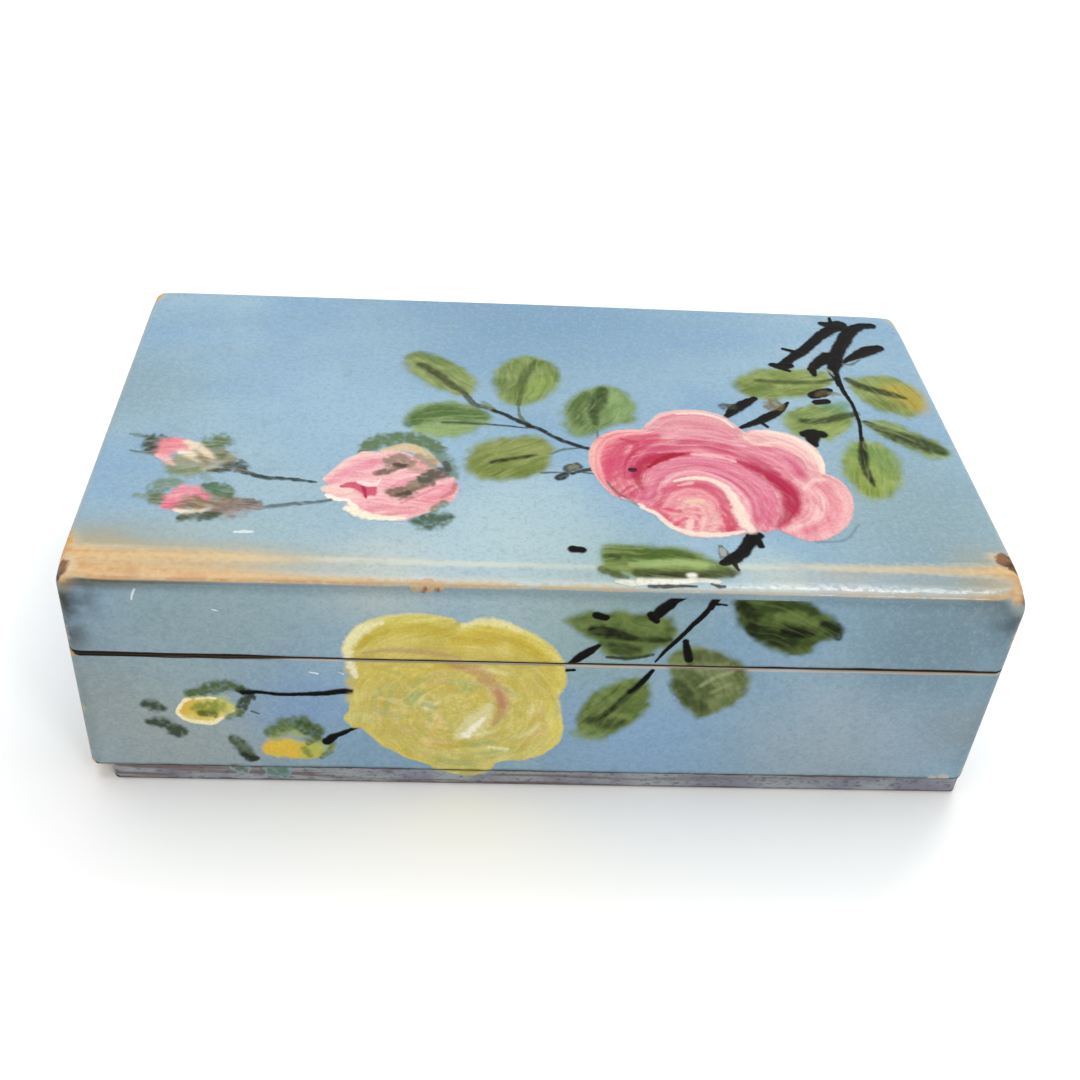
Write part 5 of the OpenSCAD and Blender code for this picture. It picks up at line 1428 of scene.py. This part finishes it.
front_art.twigs([
    ([(27.7, -0.7), (25.6, -1.6), (24.2, -3.2), (22.7, -4.9), (21.7, -6.4)], [1, 1.9, 2.7, 2.9, 2]),
    ([(21, -5.8), (22.2, -7.2)], [1.8, 1.6]),
    ([(34.5, -0.5), (33.5, -1.9), (33.1, -3.2)], [1.2, 1.7, 1.6]),
    ([(33.2, -2.7), (31.9, -5.5), (30.2, -8), (28.5, -10.9), (26.8, -13.5), (25, -16.2), (23.6, -18.9)],
     [1.1, 1.4, 1.3, 1.2, 1.2, 1, 0.6]),
    ([(34.1, -0.7), (36.8, -0.7)], [0.9, 0.6]),
    ([(34.2, -2.4), (36.1, -2.6)], [0.9, 0.6]),
    ([(10.8, -14.9), (9.3, -16.4), (7.3, -18.2), (5.4, -20)], [1.2, 2.2, 2.2, 1.1]),
    ([(4.5, -22.1), (6.2, -22)], [0.9, 0.9]),
    ([(23.1, -21.8), (21.3, -25.2), (19.1, -28.3)], [0.9, 1.4, 0.9]),
    ([(10, -6.2), (11.5, -6.7)], [2.1, 1.8]),
    ([(29.2, -13.2), (29.8, -15.5), (30.5, -17.8)], [1.5, 1.9, 2]),
])

# Two yellow buds, their stems and stray dabs of green, two of them on the bottom board
for outline, yellows in [
    ([(-79, -36.9), (-77.9, -34.5), (-76.1, -32.9), (-73.9, -32.5), (-71.3, -32.4), (-68.9, -33.3),
      (-66.8, -34.4), (-66.5, -36.3), (-67.9, -37.6), (-69.3, -39.2), (-71.6, -40.2), (-74.2, -40.2),
      (-76.7, -39.7), (-78.3, -38.5)],
     [(208, 184, 88), (220, 206, 128)]),
    ([(-61, -48.2), (-59.8, -46.2), (-58, -45.5), (-55.3, -45.1), (-53.1, -45.4), (-51.4, -46),
      (-49.2, -46.6), (-47.5, -47.8), (-48, -50.5), (-50.3, -51.5), (-52.9, -51.3), (-55.6, -51),
      (-58.2, -50.8), (-60.4, -49.8)],
     [(206, 176, 70), (196, 186, 92)]),
]:
    front_art.fill(outline, yellows, soft=0.8)
front_art.touches([
    ([(-77.3, -36.9), (-75.2, -34.7), (-73.7, -37.1)], [2.1, 3.9, 2.2], (206, 170, 62), 0.7, 1.0, 0.3),
    ([(-68.9, -34.5), (-67.1, -35.7)], [4.3, 3], (180, 186, 100), 0.7, 1.1, 0.3),
    ([(-73.8, -35.9), (-72, -35.5), (-69.7, -35.4)], [3.4, 4.7, 3], (124, 136, 56), 0.88, 1.0, 0.35),
    ([(-73.3, -37.4), (-71.1, -37.7)], [1.7, 2.1], (72, 86, 32), 0.85, 0.9, 0.3),
    ([(-78.8, -36.9), (-77.5, -34.4), (-75.6, -32.9), (-73, -32.5), (-70.5, -32.7)],
     [0.7, 0.9, 1, 0.9, 0.6], (242, 230, 190), 0.9, 0.8, 0.2),
    ([(-78.7, -37.6), (-77.1, -39.4), (-74.2, -40.2), (-71.1, -40.2), (-68.4, -37.9), (-66.7, -36.6)],
     [0.9, 1.2, 1.3, 1.2, 0.8, 0.6], (242, 228, 184), 0.92, 0.8, 0.2),
    ([(-74.9, -31.3), (-72.4, -30.3), (-69.8, -29.4), (-67.2, -29), (-65, -29.5)],
     [2.8, 3.2, 3.2, 3.4, 2.1], (70, 90, 42), 0.92, 1.0, 0.25),
    ([(-65, -29.8), (-63.5, -30.7), (-62.4, -32.2)], [1.6, 2.1, 1.5], (26, 34, 17), 0.9, 0.9, 0.5),
    ([(-65.3, -37.5), (-64.4, -34.4), (-63.5, -32.5)], [1.5, 2.4, 1.8], (48, 60, 31), 0.92, 0.9, 0.45),
    ([(-67.5, -38.2), (-65.3, -37.2)], [2.1, 2.1], (104, 122, 70), 0.7, 1.1, 0.4),
    ([(-62.6, -36.5), (-61.4, -37.1)], [0.6, 0.6], (60, 76, 92), 0.8, 0.8, 0.2),
    ([(-85, -35), (-83.6, -35.5), (-82.1, -36.1)], [2.3, 3.1, 1.8], (48, 62, 36), 0.92, 1.1, 0.2),
    ([(-84.8, -40.5), (-82.8, -40.5), (-81.2, -41.4), (-79.2, -43.2)], [2, 2.8, 3.1, 3.6], (44, 58, 34),
     0.92, 1.1, 0.2),
    ([(-67.2, -45.5), (-65.8, -47), (-64.8, -49.6), (-63.6, -51.2)], [2.5, 3.2, 3.2, 2.2], (62, 78, 42),
     0.92, 1.1, 0.2),
    ([(-64.9, -50.6), (-63.6, -51.6), (-62.7, -51.5)], [1.7, 2.2, 1.3], (34, 40, 22), 0.9, 0.9, 0.35),
    ([(-59, -48.1), (-57.2, -47.4), (-54.8, -49.3)], [3.9, 5.5, 3.4], (224, 180, 62), 0.8, 1.0, 0.25),
    ([(-57.9, -44.2), (-55.2, -42.6), (-52.4, -43.1)], [2.5, 4, 3.2], (160, 170, 90), 0.8, 1.1, 0.35),
    ([(-58.9, -43), (-56.9, -41.3), (-54.6, -40), (-52, -39.6), (-50.3, -40.8), (-48.6, -42.1)],
     [2.7, 3.6, 3.5, 3.6, 3.4, 2.6], (86, 106, 52), 0.9, 1.1, 0.25),
    ([(-51.6, -40.9), (-49.9, -42.7), (-48.9, -44.6)], [3.2, 4.2, 2.9], (56, 76, 38), 0.88, 1.1, 0.45),
    ([(-50.4, -48.6), (-48.3, -47.2), (-46.8, -47.2)], [4.1, 5.2, 3.2], (168, 176, 92), 0.85, 1.0, 0.3),
    ([(-50.7, -46), (-48.9, -44.6)], [1.6, 1.7], (78, 94, 44), 0.8, 1.0, 0.4),
    ([(-51.9, -48), (-50.6, -50.2)], [1.5, 1.5], (112, 126, 52), 0.7, 1.0, 0.4),
    ([(-48, -50.8), (-46.1, -48.8), (-45.2, -46.5)], [1.1, 1.8, 1.3], (92, 108, 56), 0.8, 1.0, 0.4),
    ([(-67.5, -55), (-66.2, -55.6)], [2.4, 2.8], (88, 102, 72), 0.8, 1.1, 0.45),
    ([(-59, -56.1), (-57.5, -56.1), (-56.9, -57.4)], [2.9, 3.7, 1.9], (88, 116, 86), 0.8, 1.1, 0.45),
], thick=0.03, rag=0.3)
front_art.twigs([
    ([(-64, -30.7), (-60.6, -30.6), (-56.3, -31.1), (-51.2, -30.9), (-46.5, -30.5), (-43, -29.8),
      (-40.9, -30)],
     [1.4, 1.1, 1.1, 1.1, 1.4, 1.7, 1.8]),
    ([(-46.7, -45.5), (-45.6, -44.5)], [2.2, 2.2]),
    ([(-45.8, -44.2), (-43.3, -42.9), (-41.1, -41.5), (-39.8, -40.9)], [1.7, 1.5, 1.2, 0.8]),
], streaks=0.6, rag=0.12)

# Yellow rose: ground, lobes from the outside in, a broken coat over them, pale rims and the brown fold
yellow_rose = [(-42.1, -17.3), (-41.1, -14.8), (-38.7, -11.7), (-35, -9.2), (-30.7, -7.7), (-25.8, -7.2),
               (-20.9, -7.8), (-17.2, -9.3), (-14.1, -8.2), (-10.4, -8.3), (-6, -10.4), (-1.6, -13.2),
               (2.1, -16.7), (3.7, -20.1), (4.6, -22.6), (4.5, -27), (3.4, -31), (4.3, -35.1), (5.4, -40.7),
               (4.3, -45.1), (1.5, -48.6), (-2.9, -50.4), (-7.3, -51), (-9.4, -52), (-10.4, -55.1),
               (-13.5, -56.7), (-17.8, -56.4), (-20.9, -54.8), (-24, -52.6), (-28.9, -50.1), (-33.2, -46.7),
               (-36.2, -42.6), (-38.4, -40.9), (-41.1, -40.6), (-42.7, -38.4), (-42, -36), (-41.1, -33.2),
               (-40.8, -30.1), (-39.9, -25.8), (-41.1, -22), (-42, -20.1)]
flower = front_art.fill(yellow_rose, [(188, 170, 90), (204, 190, 112)], soft=0.7, mottle=4.0)
for path, widths, colours in [
    ([(-41.5, -17), (-39, -12.3), (-34.2, -9.4), (-27.3, -8.2), (-20.4, -9)], [2.4, 2.8, 2.8, 2.6, 2],
     [(220, 212, 136), (210, 198, 96)]),
    ([(-40, -17.5), (-36.1, -13), (-29.3, -11), (-21.4, -11.5)], [4, 5, 5, 4],
     [(212, 200, 96), (190, 168, 46), (198, 180, 76)]),
    ([(-39, -18.5), (-32.2, -15.5), (-24.3, -15), (-17.4, -16.5)], [3, 4.4, 4.4, 3],
     [(196, 178, 76), (206, 190, 104), (186, 168, 84)]),
    ([(-17.4, -11.6), (-12.5, -10), (-6.5, -12.2), (-1, -16), (2.5, -20)], [3, 3.4, 4, 4, 3],
     [(226, 216, 124), (206, 186, 60)]),
    ([(-18.4, -15), (-11.5, -13.2), (-4.5, -16), (0.5, -21)], [4, 4.6, 4.6, 4],
     [(200, 176, 48), (190, 160, 24), (202, 180, 64)]),
    ([(-19.4, -18), (-11.5, -17), (-4.5, -19.5), (0.5, -25)], [3, 4, 4, 4],
     [(206, 188, 92), (190, 170, 76)]),
    ([(2.5, -21), (3.5, -26), (2.1, -31)], [2.6, 3, 2], [(218, 202, 98), (204, 186, 90)]),
    ([(-2.5, -22), (0, -28), (-0.5, -36), (-1.5, -43)], [5, 6, 6.4, 5],
     [(206, 190, 92), (188, 172, 86), (198, 184, 98)]),
    ([(2.9, -32), (3.7, -38), (3.3, -44), (-0.5, -48.3)], [2.2, 2.6, 2.8, 2.2],
     [(224, 208, 110), (210, 194, 92)]),
    ([(1.5, -44), (-2.5, -48), (-8.5, -49.8)], [3, 3.2, 2.4], [(210, 204, 132), (196, 186, 106)]),
    ([(-5.9, -25), (-4.1, -32), (-5.5, -39), (-9.5, -45)], [4, 5, 5, 4],
     [(198, 184, 96), (186, 172, 90), (200, 186, 100)]),
    ([(-40, -23), (-31.2, -21.5), (-21.4, -22), (-13.5, -26), (-10.5, -33)], [4, 4.4, 4.4, 4, 3],
     [(196, 182, 88), (204, 186, 92), (188, 166, 78)]),
    ([(-40, -27), (-31.2, -25), (-22.4, -26), (-15.4, -30), (-13.5, -35)], [4, 4.6, 4.6, 4, 3],
     [(206, 190, 96), (192, 172, 80), (200, 182, 90)]),
    ([(-40, -32), (-32.2, -29), (-23.4, -30), (-17.4, -34), (-16.4, -38)], [4, 4.6, 4.6, 4, 3],
     [(194, 182, 100), (204, 190, 114), (190, 172, 86)]),
    ([(-39, -36.5), (-32.2, -34), (-25.3, -34.5), (-20.4, -38), (-19.4, -42)], [4, 4.4, 4.4, 4, 3],
     [(196, 186, 104), (186, 172, 90), (204, 190, 110)]),
    ([(-36.1, -41), (-30.2, -39), (-24.3, -40), (-20.4, -44)], [4, 4.4, 4.4, 3],
     [(204, 188, 98), (188, 174, 94)]),
    ([(-33.2, -45), (-26.3, -44), (-18.4, -46.5), (-11.5, -46)], [4, 4.4, 4.4, 3],
     [(190, 180, 98), (204, 190, 106)]),
    ([(-28.3, -49), (-20.4, -49.5), (-12.5, -49.5), (-5.5, -47)], [3.4, 4, 4, 3],
     [(196, 188, 108), (180, 176, 102)]),
    ([(-21.8, -53), (-16.4, -54.6), (-12.1, -53.4)], [2.8, 3.2, 2.8], [(190, 184, 102), (204, 196, 108)]),
    ([(-38.7, -39.8), (-35.1, -44.3), (-29.3, -48.7), (-22.4, -52.4)], [1.6, 2, 2, 1.6],
     [(204, 190, 100), (218, 192, 92)]),
    ([(-41.4, -38.4), (-39, -37.5), (-37.1, -38.5)], [2.2, 2.6, 2], [(204, 204, 140), (190, 188, 116)]),
]:
    front_art.pull(path, widths, colours, 9, 0.85, 0.9, drag=0.5)
front_art.fill(yellow_rose, [(178, 164, 78), (198, 182, 98), (212, 204, 132)], 0.7, 0.3, 6.0)
# Short touches round the heart of the flower, wet in wet
heart_tones = [(226, 218, 164), (196, 166, 56), (158, 170, 108), (212, 184, 128), (178, 176, 106)]
for across, down, size, tone in picks.random((70, 4)):
    turn = 2 * math.pi * across + np.array([-0.25, 0, 0.25])
    reach = 5 + 11.5 * down
    arc = np.stack([-17 + 1.25 * reach * np.cos(turn), -35 + 0.85 * reach * np.sin(turn)], -1)
    touch = heart_tones[int(len(heart_tones) * tone)]
    front_art.brush(arc, [0.4, 0.8 + 1.6 * size, 0.4], [touch], 0.65, 1.0, 0.3, thick=0.04, rag=0.3)
front_art.soften(flower, 0.7)
front_art.streak(flower, (-17, -36), (164, 144, 56), (232, 222, 156), 0.2, 0.8, 4.0)
front_art.streak(flower, (-17, -36), (170, 152, 62), (226, 212, 128), 0.2, 3.0, 6.0)
for path, widths, colour, strength, soft in [
    ([(-41.6, -18.6), (-41, -15.2), (-38.5, -11.9), (-34.6, -9.6)], [1.8, 2.3, 2, 1], (232, 226, 184),
     0.75, 1.2),
    ([(-41.5, -20.6), (-40.6, -23.4), (-40, -25.4)], [2.2, 1.6, 0.8], (232, 226, 194), 0.8, 1.0),
    ([(-17.4, -9.8), (-14, -8.7), (-9.5, -9), (-6, -11.1)], [1.2, 2, 1.9, 1], (230, 222, 166), 0.7,
     1.2),
    ([(-38.1, -18.2), (-32.2, -17.3), (-25.3, -17.7), (-18.4, -18.9)], [0.8, 1.4, 1.4, 0.8],
     (176, 142, 106), 0.6, 1.0),
    ([(-21, -20.6), (-15, -22.6), (-11, -26.5), (-8.5, -31), (-8.3, -35), (-10, -39)],
     [1, 2.4, 3.2, 3.4, 2.8, 1], (178, 132, 98), 0.6, 1.2),
    ([(-9.5, -29), (-8.4, -33)], [1.3, 1.7], (176, 106, 90), 0.5, 1.0),
    ([(-11.1, -33.6), (-13, -37), (-15.4, -41), (-17.8, -43.4)], [1.6, 4.2, 4.6, 1.4], (218, 212, 166), 0.7,
     1.2),
    ([(-12.4, -37.6), (-15.8, -42.6)], [0.8, 2], (240, 238, 216), 0.8, 0.9),
    ([(-25.3, -33.4), (-23, -34.2)], [1.3, 1.1], (150, 156, 118), 0.6, 1.0),
    ([(-21.9, -36), (-22.9, -41), (-23.9, -44)], [0.9, 1.7, 0.9], (214, 182, 106), 0.45, 1.0),
    ([(-10.5, -46.4), (-7, -47)], [0.9, 1.1], (224, 220, 176), 0.75, 0.8),
    ([(-35.1, -35.5), (-31.2, -37.4)], [1.9, 2.1], (162, 168, 104), 0.45, 1.0),
    ([(-21.4, -51.4), (-14.5, -52)], [2, 2.2], (156, 166, 110), 0.5, 1.0),
    ([(-34.7, -31.6), (-30.2, -33), (-29.3, -36)], [1.1, 1.5, 0.9], (214, 196, 142), 0.55, 1.0),
    ([(-36.1, -22.4), (-30.2, -24.6), (-27.9, -28)], [0.8, 1.2, 0.8], (170, 158, 84), 0.4, 1.0),
]:
    front_art.brush(path, widths, [colour], strength, soft + 0.2, 0.2, thick=0.04, rag=0.4)
# White nicks in the blue
for path, width in [
    ([(-83.9, -2.3), (-84.4, -3.4), (-84.7, -4.6)], 0.6),
    ([(-68.6, -7.2), (-67.9, -7.4)], 0.4),
    ([(-49.6, -24.4), (-48.2, -24.7)], 0.5),
    ([(-43.6, -24.2), (-42.8, -24.6)], 0.4),
]:
    front_art.brush(path, width, [(226, 234, 232)], 0.8, 0.8, thick=0.0, rag=0.3)


def on_front(depth):
    """Places on an upright face at this y, standing off it towards the front."""
    return lambda x, s, off: np.stack([x, np.full_like(x, depth) - off, top - ARRIS + s], -1)


# Rows of the sheet where the lid ends and the wall begins and ends; the films stop just short of the edges
lid_end, wall_start, wall_end = np.array([seam_high, seam_low, wall_low[2]]) - top + ARRIS
on_foot = on_front(span("bottom_board")[0][1])
film("lid_front_painting", front_art, lambda x, s: s > lid_end + 0.12, on_front(front), "lid")
film("wall_painting", front_art, lambda x, s: (s < wall_start - 0.12) & (s > wall_end + 0.15),
     on_front(front), "box")
film("foot_painting", front_art, lambda x, s: s < wall_end - 0.2, on_foot, "box")

# Floor, light and camera
# A pale table top under soft white light: a broad lamp above and behind, a softer one from the front right.
FLOOR_REACH = 3.0
floor_mesh = bpy.data.meshes.new("floor")
floor_corners = [(x * FLOOR_REACH, y * FLOOR_REACH, 0) for x, y in ((-1, -1), (1, -1), (1, 1), (-1, 1))]
floor_mesh.from_pydata(floor_corners, [], [(0, 1, 2, 3)])
floor = bpy.data.objects.new("floor", floor_mesh)
bpy.context.scene.collection.objects.link(floor)
# Strength of the white room as the camera sees it, and as it lights the box
WHITE_ROOM, ROOM_LIGHT = 0.95, 0.68


def seen(tree):
    """1 for what the camera sees, itself, in gloss or through glass, and 0 for what only lights the box."""
    path = tree.nodes.new("ShaderNodeLightPath")
    total = path.outputs["Is Camera Ray"]
    for ray in ("Is Glossy Ray", "Is Transmission Ray"):
        both = tree.nodes.new("ShaderNodeMath")
        both.operation = "MAXIMUM"
        tree.links.new(total, both.inputs[0])
        tree.links.new(path.outputs[ray], both.inputs[1])
        total = both.outputs[0]
    return total


def pale_table():
    """White paint that runs into the white of the room far from the box."""
    f = Finish("pale_table")
    f.shader.inputs["Base Color"].default_value = shade(254, 254, 253, 1.0)
    f.shader.inputs["Roughness"].default_value = 0.7
    far = f.ease(f.line(f.x, 0.0, f.y, 0.0), 650, 1400)
    room = f.node("ShaderNodeEmission")
    room.inputs["Strength"].default_value = WHITE_ROOM
    both = f.node("ShaderNodeMixShader")
    f.plug(both.inputs[0], f.times(far, seen(f.material.node_tree)))
    f.links.new(f.shader.outputs[0], both.inputs[1])
    f.links.new(room.outputs[0], both.inputs[2])
    f.links.new(both.outputs[0], f.nodes["Material Output"].inputs["Surface"])
    return f.material


floor_mesh.materials.append(pale_table())


def lamp(name, place, aim, size, power):
    """A square soft lamp that faces a point."""
    light = bpy.data.lights.new(name, "AREA")
    light.size = size
    light.energy = power
    made = bpy.data.objects.new(name, light)
    bpy.context.scene.collection.objects.link(made)
    made.location = place
    direction = np.array(aim) - np.array(place)
    made.rotation_euler = (math.atan2(np.hypot(direction[0], direction[1]), -direction[2]), 0,
                           math.atan2(-direction[0], direction[1]))
    return made


box_middle = (0, 0, 0.04)
lamp("overhead", (-0.05, 0.15, 1.2), box_middle, 1.0, 6.5)
lamp("window", (0.48, 0.59, 1.12), (0.065, -0.056, 0.06), 0.3, 3.0)
lamp("front_right", (0.5, -0.75, 0.92), (0.06, -0.058, 0.06), 0.24, 1.6)

world = bpy.data.worlds.new("white_room")
bpy.context.scene.world = world
world.use_nodes = True
room = world.node_tree.nodes["Background"]
level = world.node_tree.nodes.new("ShaderNodeMapRange")
level.inputs["To Min"].default_value = ROOM_LIGHT
level.inputs["To Max"].default_value = WHITE_ROOM
world.node_tree.links.new(seen(world.node_tree), level.inputs["Value"])
world.node_tree.links.new(level.outputs[0], room.inputs["Strength"])
room.inputs["Color"].default_value = (1, 1, 1, 1)

camera_data = bpy.data.cameras.new("camera")
camera_data.sensor_width = 36
camera_data.lens = 44.9
camera_data.shift_x = 0.03
camera = bpy.data.objects.new("camera", camera_data)
bpy.context.scene.collection.objects.link(camera)
camera.location = (-0.02337, -0.26515, 0.23787)
camera.rotation_mode = "YXZ"
camera.rotation_euler = (math.radians(51.207), math.radians(-4.862), math.radians(2.424))
bpy.context.scene.camera = camera
bpy.context.scene.view_settings.view_transform = "Standard"
